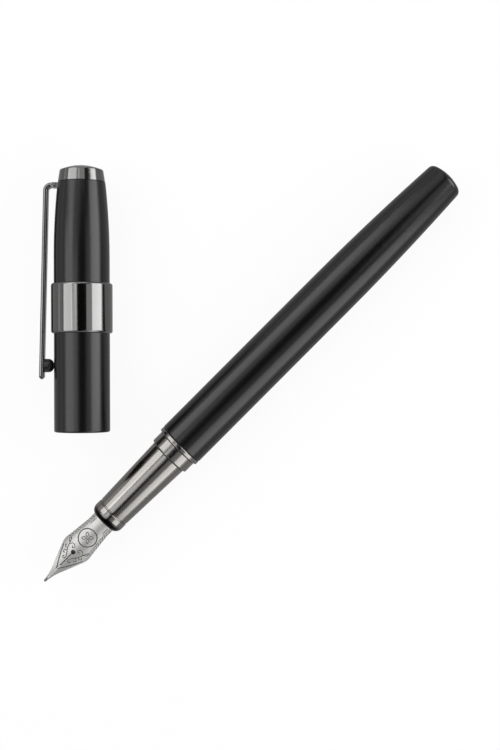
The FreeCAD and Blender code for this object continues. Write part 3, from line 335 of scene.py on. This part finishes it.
def side_strokes(sizes):
    """Engraved lines of one side of the nib, as (points in millimetres, width in metres)."""
    fine, bold = sizes.fine_line, sizes.bold_line
    along_slit = np.array([(0.9, 0.05), (8.7, 0.05)])
    border = bow((3.95, 0.02), (6.3, 1.48), (8.85, 2.78))
    stem = curve_through((11.1, 2.45), (10.1, 1.99), (9.23, 1.64), (8.28, 1.01), (7.57, 0.52),
                         (7.0, 0.46), (6.78, 0.76), (7.02, 1.02), (7.27, 0.88))
    curl_ahead = curve_through((8.45, 1.12), (8.46, 1.50), (8.12, 1.74), (7.74, 1.55), (7.88, 1.28))
    curl_behind = curve_through((9.9, 1.9), (10.5, 1.5), (10.62, 0.9), (10.2, 0.52), (9.84, 0.80),
                                (10.1, 1.08))
    leaf_ahead = curve_through((9.15, 1.6), (8.83, 1.98), (9.05, 2.34), (9.42, 2.18))
    leaf_behind = curve_through((10.2, 2.05), (10.4, 2.5), (10.8, 2.72), (11.1, 2.45))
    dash = bow((16.4, 1.72), (17.1, 1.71), (17.85, 1.68))
    scrolls = [(line, fine) for line in (curl_ahead, curl_behind, leaf_ahead, leaf_behind, dash)]
    return [(along_slit, fine * 0.85), (border, bold), (stem, fine * 1.15), *scrolls]


def edge_strokes(sizes):
    """Border line along the nib's rear edges and the slanted dashes between it and the edge."""
    border_inset, outer_inset, inner_inset = 0.66 * MM, 0.16 * MM, 0.50 * MM
    border_from, border_to, dashes_from, dashes_to = 10.6 * MM, 18.2 * MM, 10.9 * MM, 18.0 * MM
    pitch, slant = 0.72 * MM, 0.42 * MM
    along = np.linspace(border_from, border_to, 30)
    border = np.stack([along, nib_half_width(along) - border_inset], axis=1) / MM
    strokes = [(border, sizes.fine_line * 0.55)]
    for x in np.arange(dashes_from, dashes_to, pitch):
        edge = nib_half_width(np.array([x, x + slant]))
        dash = np.array([(x, edge[0] - outer_inset), (x + slant, edge[1] - inner_inset)]) / MM
        strokes.append((dash, sizes.fine_line * 0.75))
    return strokes


def middle_strokes(sizes):
    """Ornament on the nib's middle: a plain ring with a four-leaved rosette inside it, as (points
    in millimetres, width in metres)."""
    centre, ring_radius = np.array([13.6, 0.0]), 2.0
    leaf_from, leaf_to, leaf_bulge = 0.22, 1.25, 0.62
    ring = [(circle(centre, ring_radius), sizes.bold_line * 1.05)]
    leaves = []
    for quarter in range(4):
        angle = math.pi * (0.25 + quarter / 2)
        out = np.array([math.cos(angle), math.sin(angle)])
        aside = np.array([-out[1], out[0]])
        root, tip = centre + leaf_from * out, centre + leaf_to * out
        for side in (-leaf_bulge, leaf_bulge):
            leaves.append((bow(root, (root + tip) / 2 + side * aside, tip), sizes.fine_line))
    return ring + leaves


def engraving(x, y, strokes):
    """How deep each place lies in the engraved lines, from 0 on the face to 1 in the middle of a
    line: one less the distance to the nearest stroke over its half width, steepened and eased."""
    depth = np.zeros(x.shape)
    for points, width in strokes:
        path = np.asarray(points) * MM
        low, high = path.min(0) - width, path.max(0) + width
        near = (x > low[0]) & (x < high[0]) & (y > low[1]) & (y < high[1])
        if not near.any():
            continue
        place = np.stack([x[near], y[near]], axis=-1)[:, None, :]
        start, run = path[:-1], np.diff(path, axis=0)
        share_along = ((place - start) * run).sum(-1) / np.maximum((run**2).sum(-1), 1e-18)
        foot = start + np.clip(share_along, 0.0, 1.0)[..., None] * run
        away = np.sqrt(((place - foot) ** 2).sum(-1)).min(1)
        inside = 1.0 - away / (width / 2)
        depth[near] = np.maximum(depth[near], eased(inside * CUT_WALL_STEEPNESS))
    return depth


def nib_stations(sizes):
    """Stations along the nib, closer where the lines are cut and where the breather hole turns."""
    front, rear = sizes.breather_at - sizes.breather, sizes.breather_at + sizes.breather
    turn = np.linspace(0.0, math.pi, HOLE_STATIONS)
    return np.concatenate([
        np.linspace(PELLET_END, front, FRONT_STATIONS)[:-1],
        sizes.breather_at - sizes.breather * np.cos(turn),
        np.linspace(rear, CUT_END, REAR_STATIONS)[1:],
        np.linspace(CUT_END, NIB_END, TAIL_STATIONS)[1:],
    ])


def nib_inner_edge(x, sizes):
    """Half width of the opening in the nib's middle: the slit, the breather hole, then none."""
    ahead = x < sizes.breather_at
    hole = np.sqrt(np.maximum(sizes.breather**2 - (x - sizes.breather_at) ** 2, 0.0))
    return np.maximum(hole, np.where(ahead, sizes.slit / 2, 0.0))


def nib_surface(sizes):
    """Points of one half of the nib, station by station, and how deep each is engraved.

    A point of the rolled sheet is on a circle of the roll radius less its depth below the face,
    at the angle whose sine is its half width over the roll radius, round a centre that lies one
    roll radius below the crown.  Each station's section runs over the face from the middle
    opening to the outer edge, round that edge, and back under the sheet."""
    x = nib_stations(sizes)[:, None]
    edge, sheet = sizes.edge, sizes.sheet
    roll = nib_roll(x, sizes)
    inner = np.arcsin(nib_inner_edge(x, sizes) / roll)
    outer = np.arcsin(np.minimum(nib_half_width(x) / roll, STEEPEST_SINE)) - edge / roll
    outer = np.maximum(outer, inner + NARROWEST_FACE)
    over, under = np.linspace(0, 1, FACE_COLUMNS), np.linspace(1, 0, UNDERSIDE_COLUMNS)
    corner = np.linspace(0, math.pi / 2, CORNER_STEPS + 1)
    angle = np.concatenate([
        inner + (outer - inner) * over,
        outer + edge / roll * np.sin(corner[1:]),
        outer + edge / roll * np.cos(corner[:-1]),
        inner + (outer - inner) * under,
    ], axis=1)
    below = np.concatenate([
        np.zeros(over.size), edge * (1 - np.cos(corner[1:])),
        sheet - edge * (1 - np.sin(corner[:-1])), np.full(under.size, sheet),
    ])[None, :]
    aside = (roll - below) * np.sin(angle)
    cut = np.zeros(angle.shape)
    face = slice(0, over.size)
    strokes = side_strokes(sizes) + edge_strokes(sizes) + middle_strokes(sizes)
    along = np.broadcast_to(x, angle.shape)
    cut[:, face] = engraving(along[:, face], aside[:, face], strokes)
    radius = roll - below - cut * sizes.cut_depth
    up = nib_crown(x) - roll + radius * np.cos(angle)
    half = np.stack([along, radius * np.sin(angle), up], axis=-1)
    return half, cut


def close_end(ring, tops):
    """Triangles over a sheet's end: each step along its face, the first tops points of the ring,
    meets the nearest of the points under it, and each step under it meets the face again."""
    top, low = ring[:tops], ring[:tops - 1:-1]
    meet = np.round(np.linspace(0, len(low) - 1, len(top))).astype(int)
    step = np.flatnonzero(np.diff(meet))
    fans = np.stack([top[:-1], top[1:], low[meet[:-1]]], axis=1)
    links = np.stack([top[step + 1], low[meet[step + 1]], low[meet[step]]], axis=1)
    return np.concatenate([fans, links])


def weld_halves(half, cut, closed_from, tops):
    """One closed sheet from a half and its mirror image.  From station closed_from on, the
    middle columns of both halves are the same points, so the sheet has no wall there."""
    rows, columns = cut.shape
    first = np.arange(rows * columns).reshape(rows, columns)
    second = first + rows * columns
    second[closed_from:, 0] = first[closed_from:, 0]
    second[closed_from:, -1] = first[closed_from:, -1]
    quads = []
    for numbers, flip in ((first, False), (second, True)):
        faces = grid_faces(rows, columns, around=True)
        wall = (faces[:, 0] % columns == columns - 1) & (faces[:, 0] // columns >= closed_from)
        faces = numbers.reshape(-1)[faces[~wall]]
        quads.append(faces[:, ::-1] if flip else faces)
        quads += [close_end(numbers[0], tops), close_end(numbers[-1], tops)]
    mirrored = half * np.array([1.0, -1.0, 1.0])
    points = np.concatenate([half.reshape(-1, 3), mirrored.reshape(-1, 3)])
    depth = np.concatenate([cut.reshape(-1), cut.reshape(-1)])
    used = np.unique(np.concatenate([f.reshape(-1) for f in quads]))
    renumber = np.zeros(len(points), int)
    renumber[used] = np.arange(used.size)
    four = [renumber[f] for f in quads if f.shape[1] == 4]
    three = [renumber[f] for f in quads if f.shape[1] == 3]
    return points[used], depth[used], np.concatenate(four), np.concatenate(three)


# ---------------------------------------------------------------- clip

# Places up the strip's root, measured from the cap's axis: its edges turn round from the slot's
# mouth on, its cover over the clip ring's leg fades out, and it starts and stops to bend.
SLOT_MOUTH = 5.9 * MM
COVER_END = 6.15 * MM
# How much thicker the strip is than the leg it covers, and how sharp its edges are there.
LEG_COVER = 0.03 * MM
SQUARE_ROUNDING = 0.03 * MM
ROUNDING_RISE = 0.6 * MM
COVER_FADE = 0.3 * MM
# The strip's last section is this share of its full thickness, and stops this share of half of
# it short of the end.
BLUNT_SHARE = 0.12
TIP_GAP_SHARE = 0.2
LEG_STEPS = 14
BEND_STEPS = 22
ARM_STEPS = 90
QUARTER_STEPS = 7


def clip_line(sizes):
    """Middle line of the clip's strip on the cap, as (along, aside) places: out of the slot, a
    quarter turn and a few degrees more, and down."""
    top = cap_along("clip_ring")[1]
    end = cap_along("clip_arm")[0]
    half, bend = sizes.thick / 2, sizes.bend
    run = top - bend - end
    lean = math.atan2(sizes.far - sizes.near, run)
    middle_radius = bend - half
    centre = np.array([top - bend, sizes.near - bend])
    out = np.linspace(sizes.root, centre[1], LEG_STEPS)[:-1]
    leg = np.stack([np.full(out.size, top - half), out], axis=1)
    turn = np.linspace(0.0, math.pi / 2 + lean, BEND_STEPS)
    arc = centre + middle_radius * np.stack([np.cos(turn), np.sin(turn)], axis=1)
    down = np.array([-math.cos(lean), math.sin(lean)])
    reach = (arc[-1, 0] - end - half * TIP_GAP_SHARE) / math.cos(lean)
    arm = arc[-1] + np.linspace(0.0, reach, ARM_STEPS)[1:, None] * down
    return np.concatenate([leg, arc, arm])


def cap_along(node):
    """Lowest and highest place of a CAD node along the cap's axis."""
    along = (node_points(node) - CAP_ORIGIN) @ CAP_TURN[0]
    return along.min(), along.max()


def rounded_section(thick, wide, rounding, count):
    """Rounded rectangles, one for each rounding: four quarter circles joined by straight sides,
    as (across the thickness, across the width) places.  Each has four times count points."""
    quarter = np.linspace(0.0, math.pi / 2, count)
    angle = np.concatenate([quarter + k * math.pi / 2 for k in range(4)])
    signs = np.array([(1, 1), (-1, 1), (-1, -1), (1, -1)]).repeat(count, axis=0)
    rounding = rounding[:, None]
    across = signs[:, 0] * (thick[:, None] / 2 - rounding) + rounding * np.cos(angle)
    aside = signs[:, 1] * (wide[:, None] / 2 - rounding) + rounding * np.sin(angle)
    return across, aside


def clip_surface(sizes):
    """Points and faces of the clip: a rounded rectangle carried along its middle line, nearly
    square and a little thicker inside the slot, where it covers the clip ring's leg, rounded
    outside it, and drawn in to a blunt rounded end."""
    line = clip_line(sizes)
    step = np.hypot(*np.diff(line, axis=0).T)
    travelled = np.concatenate([[0.0], np.cumsum(step)])
    tangent = np.gradient(line, travelled, axis=0)
    tangent /= np.hypot(*tangent.T)[:, None]
    normal = np.stack([tangent[:, 1], -tangent[:, 0]], axis=1)
    left = travelled[-1] - travelled
    blunt = sizes.thick / 2
    shrink = np.sqrt(np.clip(1 - (1 - np.minimum(left / blunt, 1.0)) ** 2, 0.0, 1.0))
    shrink = BLUNT_SHARE + (1 - BLUNT_SHARE) * shrink
    cover = LEG_COVER * (1 - eased((line[:, 1] - COVER_END) / COVER_FADE))
    thick = sizes.thick * shrink + cover
    wide = sizes.wide - sizes.thick * (1 - shrink) + cover
    risen = eased((line[:, 1] - SLOT_MOUTH) / ROUNDING_RISE)
    rounding = sizes.rounding * risen * shrink + SQUARE_ROUNDING
    rounding = np.where(line[:, 0] < line[0, 0] - blunt, sizes.rounding * shrink, rounding)
    across, aside = rounded_section(thick, wide, rounding, QUARTER_STEPS)
    points = np.concatenate([
        line[:, None, :] + across[..., None] * normal[:, None, :],
        aside[..., None],
    ], axis=-1)
    rows, columns = across.shape
    quads = grid_faces(rows, columns, around=True)
    first, last = np.arange(columns), (rows - 1) * columns + np.arange(columns)
    caps = [np.stack([np.full(columns - 2, ring[0]), ring[1:-1], ring[2:]], axis=1)
            for ring in (first, last)]
    caps[0] = caps[0][:, ::-1]
    return points.reshape(-1, 3), quads, np.concatenate(caps)


def face_outward(piece):
    """Turn every face of a closed piece outward."""
    mesh = bmesh.new()
    mesh.from_mesh(piece.data)
    bmesh.ops.recalc_face_normals(mesh, faces=mesh.faces)
    mesh.to_mesh(piece.data)
    mesh.free()
    piece.data.update()


# ---------------------------------------------------------------- materials


class Recipe:
    """A node material being written: its nodes are added and joined by name."""

    def __init__(self, name, base, metallic=0.0, roughness=0.4, **sockets):
        self.material = bpy.data.materials.new(name)
        self.material.use_nodes = True
        self.tree = self.material.node_tree
        self.shader = self.tree.nodes["Principled BSDF"]
        self.shader.inputs["Base Color"].default_value = (*base, 1.0)
        self.shader.inputs["Metallic"].default_value = metallic
        self.shader.inputs["Roughness"].default_value = roughness
        for socket, value in sockets.items():
            self.shader.inputs[socket.replace("_", " ")].default_value = value

    def node(self, kind, joins=None, **settings):
        """A node with its settings, whose inputs take the given sockets or values."""
        node = self.tree.nodes.new(kind)
        for key, value in settings.items():
            setattr(node, key, value)
        for socket, source in (joins or {}).items():
            if isinstance(source, bpy.types.NodeSocket):
                self.tree.links.new(source, node.inputs[socket])
            else:
                node.inputs[socket].default_value = source
        return node

    def place(self, scale, turn=(0, 0, 0)):
        """Object coordinates, scaled for each axis."""
        where = self.node("ShaderNodeTexCoord").outputs["Object"]
        mapping = self.node("ShaderNodeMapping", {"Vector": where, "Rotation": turn, "Scale": scale})
        return mapping.outputs["Vector"]

    def noise(self, where, scale=1.0, detail=3.0):
        """Soft noise at a place."""
        joins = {"Vector": where, "Scale": scale, "Detail": detail, "Roughness": 0.6}
        return self.node("ShaderNodeTexNoise", joins).outputs["Fac"]

    def between(self, value, low, high, low_in=0.3, high_in=0.7):
        """A number that goes from low to high as value goes from low_in to high_in."""
        joins = {"Value": value, "From Min": low_in, "From Max": high_in, "To Min": low, "To Max": high}
        return self.node("ShaderNodeMapRange", joins).outputs["Result"]

    def blend_colours(self, value, first, second):
        """A colour between two, by a socket's number from 0 to 1; each of the two is a colour or
        a socket."""
        node = self.node("ShaderNodeMix", data_type="RGBA")
        targets = [s for s in node.inputs if s.enabled]
        for target, source in zip(targets, (value, first, second)):
            if isinstance(source, bpy.types.NodeSocket):
                self.tree.links.new(source, target)
            else:
                target.default_value = (*source, 1.0)
        return next(s for s in node.outputs if s.enabled)

    def feed(self, socket, source):
        """Join a source to one of the shader's inputs."""
        self.tree.links.new(source, self.shader.inputs[socket])

    def rough_skin(self, height, strength, distance):
        """Bump from a height."""
        bump = self.node("ShaderNodeBump", {"Height": height, "Strength": strength, "Distance": distance})
        self.feed("Normal", bump.outputs["Normal"])


def scaled(colour_value, factor):
    """A colour scaled by a factor."""
    return tuple(c * factor for c in colour_value)


def lacquer_finish(looks):
    """Satin black lacquer: a fine grain, a barely uneven gloss and faint clouds of colour."""
    recipe = Recipe("satin_lacquer", looks.lacquer, roughness=0.24)
    where = recipe.place((1, 1, 1))
    grain = recipe.noise(where, scale=9000.0, detail=2.0)
    cloud = recipe.noise(where, scale=260.0)
    recipe.feed("Roughness", recipe.between(cloud, low=0.235, high=0.25))
    recipe.feed("Base Color", recipe.blend_colours(cloud, looks.lacquer, scaled(looks.lacquer, 1.5)))
    recipe.rough_skin(grain, strength=0.12, distance=0.003 * MM)
    return recipe.material


def plated_finish(name, base, roughness, along_cap=False):
    """Polished dark plating: turning marks round the axis, seen only in the gloss."""
    recipe = Recipe(name, base, metallic=1.0, roughness=roughness)
    cap_angle = math.atan2(CAP_TURN[0][1], CAP_TURN[0][0])
    turn = (0, 0, -cap_angle) if along_cap else (0, 0, 0)
    marks = recipe.noise(recipe.place((9000, 60, 60), turn))
    smudge = recipe.noise(recipe.place((1, 1, 1)), scale=170.0, detail=4.0)
    recipe.feed("Roughness", recipe.between(smudge, low=roughness * 0.93, high=roughness * 1.08))
    recipe.feed("Base Color", recipe.blend_colours(smudge, scaled(base, 0.97), scaled(base, 1.04)))
    recipe.rough_skin(marks, strength=0.02, distance=0.001 * MM)
    return recipe.material


def lip_finish(looks):
    """The plating of the lip, with painted shade: near black painted round the mouth that holds the nib, standing
    in for the dark nib and shaded table that its steep front face mirrors.
    """
    recipe = Recipe("lip_plating", looks.gunmetal, metallic=1.0, roughness=0.16)
    along = recipe.node("ShaderNodeSeparateXYZ", {"Vector": recipe.place((1, 1, 1))}).outputs["X"]
    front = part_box("lip_ring")[0].x
    black_to, bright_from = front + 0.85 * MM, front + 1.6 * MM
    # painted shade: the lip's front is painted near black, fading into the plating behind it, in place of the dark
    # reflection of the nib and its shadow
    painted_shade = (0.004, 0.004, 0.004)
    bright = recipe.between(along, low=0.0, high=1.0, low_in=black_to, high_in=bright_from)
    recipe.feed("Base Color", recipe.blend_colours(bright, painted_shade, looks.gunmetal))
    return recipe.material


def steel_finish(looks):
    """Bright rolled steel with long fine drawing marks and dark engraved lines."""
    recipe = Recipe("nib_steel", looks.steel, metallic=1.0, roughness=0.56)
    strokes = recipe.noise(recipe.place((250, 5200, 5200)))
    cloud = recipe.noise(recipe.place((1, 1, 1)), scale=420.0)
    cut = recipe.node("ShaderNodeAttribute", attribute_name="cut").outputs["Fac"]
    face = recipe.blend_colours(cloud, scaled(looks.steel, 0.92), scaled(looks.steel, 1.05))
    recipe.feed("Base Color", recipe.blend_colours(cut, face, looks.cut_steel))
    recipe.feed("Roughness", recipe.between(cut, low=0.56, high=0.7, low_in=0.0, high_in=1.0))
    recipe.rough_skin(strokes, strength=0.12, distance=0.004 * MM)
    return recipe.material


def inner_metal_finish(name, base, roughness):
    """Turned or plated metal of the inner pieces, with lathe marks round the pen's axis."""
    recipe = Recipe(name, base, metallic=1.0, roughness=roughness)
    marks = recipe.noise(recipe.place((14000, 200, 200)), detail=2.0)
    recipe.feed("Roughness", recipe.between(marks, low=roughness * 0.9, high=roughness * 1.15))
    recipe.rough_skin(marks, strength=0.05, distance=0.002 * MM)
    return recipe.material


def plastic_finish(name, base, roughness):
    """Moulded plastic with a fine even grain."""
    recipe = Recipe(name, base, roughness=roughness)
    where = recipe.place((1, 1, 1))
    grain = recipe.noise(where, scale=5200.0, detail=2.0)
    cloud = recipe.noise(where, scale=300.0, detail=2.0)
    recipe.feed("Roughness", recipe.between(grain, low=roughness * 0.85, high=roughness * 1.2))
    recipe.feed("Base Color", recipe.blend_colours(cloud, scaled(base, 0.9), scaled(base, 1.15)))
    recipe.rough_skin(grain, strength=0.2, distance=0.006 * MM)
    return recipe.material


def clear_finish():
    """Clear moulded plastic with a faint cold tint."""
    recipe = Recipe(
        "clear_plastic", (0.93, 0.96, 0.97), roughness=0.04, Transmission_Weight=1.0, IOR=1.49
    )
    ripple = recipe.noise(recipe.place((400, 1500, 1500)), detail=1.0)
    recipe.feed("Roughness", recipe.between(ripple, low=0.03, high=0.07))
    return recipe.material


def node_finishes(looks):
    """A finished material for every CAD node, by node name."""
    lacquer = lacquer_finish(looks)
    grip = plated_finish("grip_plating", looks.gunmetal, roughness=0.17)
    ring = plated_finish("ring_plating", looks.ring_metal, roughness=0.10, along_cap=True)
    steel = steel_finish(looks)
    hard = inner_metal_finish("hard_tip_metal", scaled(looks.steel, 0.36), roughness=0.35)
    nickel = inner_metal_finish("nickel_plating", looks.plating, roughness=0.24)
    brass = inner_metal_finish("turned_brass", looks.brass, roughness=0.28)
    plastic = plastic_finish("black_moulding", looks.plastic, roughness=0.42)
    gloss = plastic_finish("gloss_moulding", looks.plastic, roughness=0.2)
    pale = plastic_finish("pale_moulding", looks.pale, roughness=0.45)
    rubber = plastic_finish("seal_rubber", looks.rubber, roughness=0.7)
    groups = {
        lacquer: ("barrel_tube", "barrel_end_plug", "cap_tube"),
        grip: ("grip_shell", "collar_ring", "flange_ring"),
        lip_finish(looks): ("lip_ring",),
        ring: ("cap_band", "clip_ring", "finial", "clip_arm"),
        steel: ("nib",),
        hard: ("nib_pellet",),
        nickel: ("clutch_ring", "converter_sleeve", "finial_screw"),
        brass: ("barrel_bush",),
        plastic: ("feed", "nib_housing", "section_core", "converter_mouth", "converter_guide",
                  "converter_spindle", "piston_stem", "cap_liner", "clip_spacer"),
        gloss: ("converter_knob", "clip_bead"),
        pale: ("converter_piston",),
        rubber: ("thread_seal",),
        clear_finish(): ("converter_reservoir",),
    }
    return {node: material for material, nodes in groups.items() for node in nodes}


def coat_node(node, material):
    """Give a CAD node's object one material."""
    slots = frame["nodes"][node].data.materials
    for index in range(len(slots)):
        slots[index] = material


# ---------------------------------------------------------------- stage

# Each lamp is named for the piece and the side of it that mirrors the lamp.  Each row: name,
# degrees counter-clockwise from the view's right, zenith angles in degrees, brightness, width.
LAMPS = (
    ("pen_left_high", 130.0, (16.0, 36.0), 0.75, 0.24),
    ("cap_left_high", 192.0, (13.0, 33.0), 1.50, 0.22),
    ("cap_right_high", 10.0, (21.0, 43.0), 0.75, 0.22),
    ("pen_right_high", -50.0, (17.0, 42.0), 0.40, 0.26),
    ("pen_left_low", 135.0, (36.0, 69.0), 2.30, 0.34),
    ("cap_left_low", 185.0, (32.0, 65.0), 2.40, 0.34),
    ("cap_right_low", 13.0, (43.0, 85.0), 3.20, 0.36),
    ("pen_right_low", -43.0, (42.0, 82.0), 2.20, 0.34),
    ("far_low", 86.0, (24.0, 70.0), 0.80, 0.26),
)

# Each pair: a direction's height, from 0 at the horizon to 1 overhead, and the room's light there.
ROOM_LEVELS = (
    (0.0, 1.0), (0.06, 0.95), (0.14, 0.6), (0.26, 0.55), (0.45, 0.3), (0.70, 0.06), (1.0, 0.01)
)
FLOOR_HALF_SIDE = 3.0
FLOOR_WHITE_SHARE = 0.92
FLOOR_MIRRORED_LEVEL = 0.4


def view_direction(turn, degrees):
    """A level direction in the frame that appears at this angle from the view's right."""
    angle = turn + math.radians(degrees)
    return np.array([math.cos(angle), math.sin(angle), 0.0])


def soft_lamp(name, toward, zeniths, level, wide, reach, middle):
    """A rectangular lamp facing the object, its wide side level, between two zenith angles.
    Its power is its face's brightness times its area times pi."""
    steep = math.radians(sum(zeniths) / 2)
    tall = 2 * reach * math.tan(math.radians(zeniths[1] - zeniths[0]) / 2)
    up = np.array([0.0, 0.0, 1.0])
    direction = toward * math.sin(steep) + up * math.cos(steep)
    lamp = bpy.data.lights.new(name, "AREA")
    lamp.shape = "RECTANGLE"
    lamp.size, lamp.size_y = wide, tall
    lamp.energy = level * math.pi * wide * tall
    holder = bpy.data.objects.new(name, lamp)
    bpy.context.scene.collection.objects.link(holder)
    side = np.cross(up, direction)
    side /= np.linalg.norm(side)
    matrix = np.eye(4)
    matrix[:3, :3] = np.stack([side, np.cross(direction, side), direction], axis=1)
    matrix[:3, 3] = middle + direction * reach
    holder.matrix_world = Matrix(matrix.tolist())
    holder.visible_camera = False


def make_world():
    """Room light: white near the horizon, falling to nearly dark overhead."""
    world = bpy.data.worlds.new("room")
    bpy.context.scene.world = world
    world.use_nodes = True
    tree = world.node_tree
    where = tree.nodes.new("ShaderNodeTexCoord").outputs["Generated"]
    up = tree.nodes.new("ShaderNodeSeparateXYZ")
    tree.links.new(where, up.inputs["Vector"])
    ramp = tree.nodes.new("ShaderNodeValToRGB")
    elements = ramp.color_ramp.elements
    while len(elements) < len(ROOM_LEVELS):
        elements.new(0.5)
    for element, (place, level) in zip(elements, ROOM_LEVELS):
        element.position = place
        element.color = (level, level, level, 1.0)
    tree.links.new(up.outputs["Z"], ramp.inputs["Fac"])
    tree.links.new(ramp.outputs["Color"], tree.nodes["Background"].inputs["Color"])


def floor_finish(base):
    """Pale matt floor that glows white toward the camera, less in what mirrors it, and keeps a
    little of its shadows."""
    recipe = Recipe("pale_floor", base, roughness=0.9, Specular_IOR_Level=0.0)
    path = recipe.node("ShaderNodeLightPath")
    straight = recipe.node(
        "ShaderNodeMath",
        {0: path.outputs["Is Camera Ray"], 1: path.outputs["Is Transmission Ray"]},
        operation="MAXIMUM",
    )
    seen = recipe.node(
        "ShaderNodeMath", {0: straight.outputs[0], 1: path.outputs["Is Glossy Ray"]}, operation="MAXIMUM"
    )
    joins = {0: seen.outputs[0], 1: FLOOR_WHITE_SHARE}
    part = recipe.node("ShaderNodeMath", joins, operation="MULTIPLY")
    level = recipe.between(
        straight.outputs[0], low=FLOOR_MIRRORED_LEVEL, high=1.0, low_in=0.0, high_in=1.0
    )
    white = recipe.node("ShaderNodeEmission", {"Color": (1.0, 1.0, 1.0, 1.0), "Strength": level})
    mix = recipe.node("ShaderNodeMixShader", {0: part.outputs[0]})
    tree = recipe.tree
    tree.links.new(recipe.shader.outputs[0], mix.inputs[1])
    tree.links.new(white.outputs[0], mix.inputs[2])
    tree.links.new(mix.outputs[0], tree.nodes["Material Output"].inputs["Surface"])
    return recipe.material


# ---------------------------------------------------------------- operators


class PEN_OT_finishes(bpy.types.Operator):
    """Give every CAD piece of the pen its finish"""

    bl_idname = "pen.finishes"
    bl_label = "Finishes"

    def execute(self, context):
        for node, material in node_finishes(context.scene.pen_finishes).items():
            coat_node(node, material)
        return {"FINISHED"}


class PEN_OT_nib(bpy.types.Operator):
    """Build the engraved nib in place of its plain sheet"""

    bl_idname = "pen.nib"
    bl_label = "Engraved nib"

    def execute(self, context):
        sizes = context.scene.pen_nib
        half, cut = nib_surface(sizes)
        hole_end = sizes.breather_at + sizes.breather
        closed_from = int(np.argmin(np.abs(nib_stations(sizes) - hole_end)))
        tops = FACE_COLUMNS + CORNER_STEPS
        points, depth, quads, triangles = weld_halves(half, cut, closed_from, tops)
        steel = frame["nodes"]["nib"].data.materials[0]
        nib = make_piece("engraved_nib", on_pen(points), quads, triangles, steel)
        layer = nib.data.attributes.new("cut", "FLOAT", "POINT")
        layer.data.foreach_set("value", depth.astype(np.float32))
        face_outward(nib)
        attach(nib, "section")
        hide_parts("nib")
        return {"FINISHED"}


class PEN_OT_clip(bpy.types.Operator):
    """Build the clip as one bent strip"""

    bl_idname = "pen.clip"
    bl_label = "Clip strip"

    def execute(self, context):
        points, quads, triangles = clip_surface(context.scene.pen_clip)
        plating = frame["nodes"]["clip_arm"].data.materials[0]
        clip = make_piece("clip_strip", on_cap(points), quads, triangles, plating)
        face_outward(clip)
        top = cap_along("clip_ring")[1]
        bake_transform(clip)
        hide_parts("clip_arm")
        return {"FINISHED"}


class PEN_OT_stage(bpy.types.Operator):
    """Set the floor, the lamps, the room and the camera"""

    bl_idname = "pen.stage"
    bl_label = "Stage"

    def execute(self, context):
        stage = context.scene.pen_stage
        middle = on_pen([stage.aim, 0.0, 0.0])
        turns = ((-1, -1), (1, -1), (1, 1), (-1, 1))
        corners = [(x * FLOOR_HALF_SIDE, y * FLOOR_HALF_SIDE, 0.0) for x, y in turns]
        floor = make_piece("floor", corners, [(0, 1, 2, 3)], material=floor_finish(stage.floor))
        make_world()
        for name, degrees, zeniths, level, wide in LAMPS:
            toward = view_direction(stage.turn, degrees)
            level *= stage.lamp_level
            soft_lamp(name, toward, zeniths, level, wide, stage.lamp_reach, middle)
        camera = bpy.data.cameras.new("camera")
        camera.sensor_fit = "VERTICAL"
        camera.sensor_height = 36.0
        camera.lens = stage.lens
        camera.clip_start = 0.01
        holder = bpy.data.objects.new("camera", camera)
        bpy.context.scene.collection.objects.link(holder)
        holder.location = middle + np.array([0.0, 0.0, stage.reach])
        holder.rotation_euler = (0.0, 0.0, stage.turn)
        context.scene.camera = holder
        context.scene.view_settings.view_transform = "Standard"
        return {"FINISHED"}


OPERATORS = (PEN_OT_finishes, PEN_OT_nib, PEN_OT_clip, PEN_OT_stage)


class PEN_PT_looks(bpy.types.Panel):
    """Lists the pieces of the pen's looks"""

    bl_idname = "PEN_PT_looks"
    bl_label = "Fountain Pen"
    bl_space_type = "VIEW_3D"
    bl_region_type = "UI"
    bl_category = "Fountain Pen"

    def draw(self, context):
        for operator in OPERATORS:
            self.layout.operator(operator.bl_idname)
        for group in GROUPS:
            box = self.layout.box()
            settings = getattr(context.scene, group)
            for name in settings.bl_rna.properties.keys():
                if name not in ("rna_type", "name"):
                    box.prop(settings, name)


GROUPS = {"pen_nib": NibSizes, "pen_clip": ClipSizes, "pen_finishes": Finishes, "pen_stage": StageSizes}
CLASSES = (*GROUPS.values(), *OPERATORS, PEN_PT_looks)


def register():
    """Add the classes and the scene's settings."""
    for cls in CLASSES:
        bpy.utils.register_class(cls)
    for name, group in GROUPS.items():
        setattr(bpy.types.Scene, name, bpy.props.PointerProperty(type=group))


def unregister():
    """Take the settings and the classes away again."""
    for name in GROUPS:
        delattr(bpy.types.Scene, name)
    for cls in reversed(CLASSES):
        bpy.utils.unregister_class(cls)


def main():
    """Build everything in order."""
    register()
    bpy.ops.pen.finishes()
    bpy.ops.pen.nib()
    bpy.ops.pen.clip()
    bpy.ops.pen.stage()


if __name__ == "__main__":
    main()
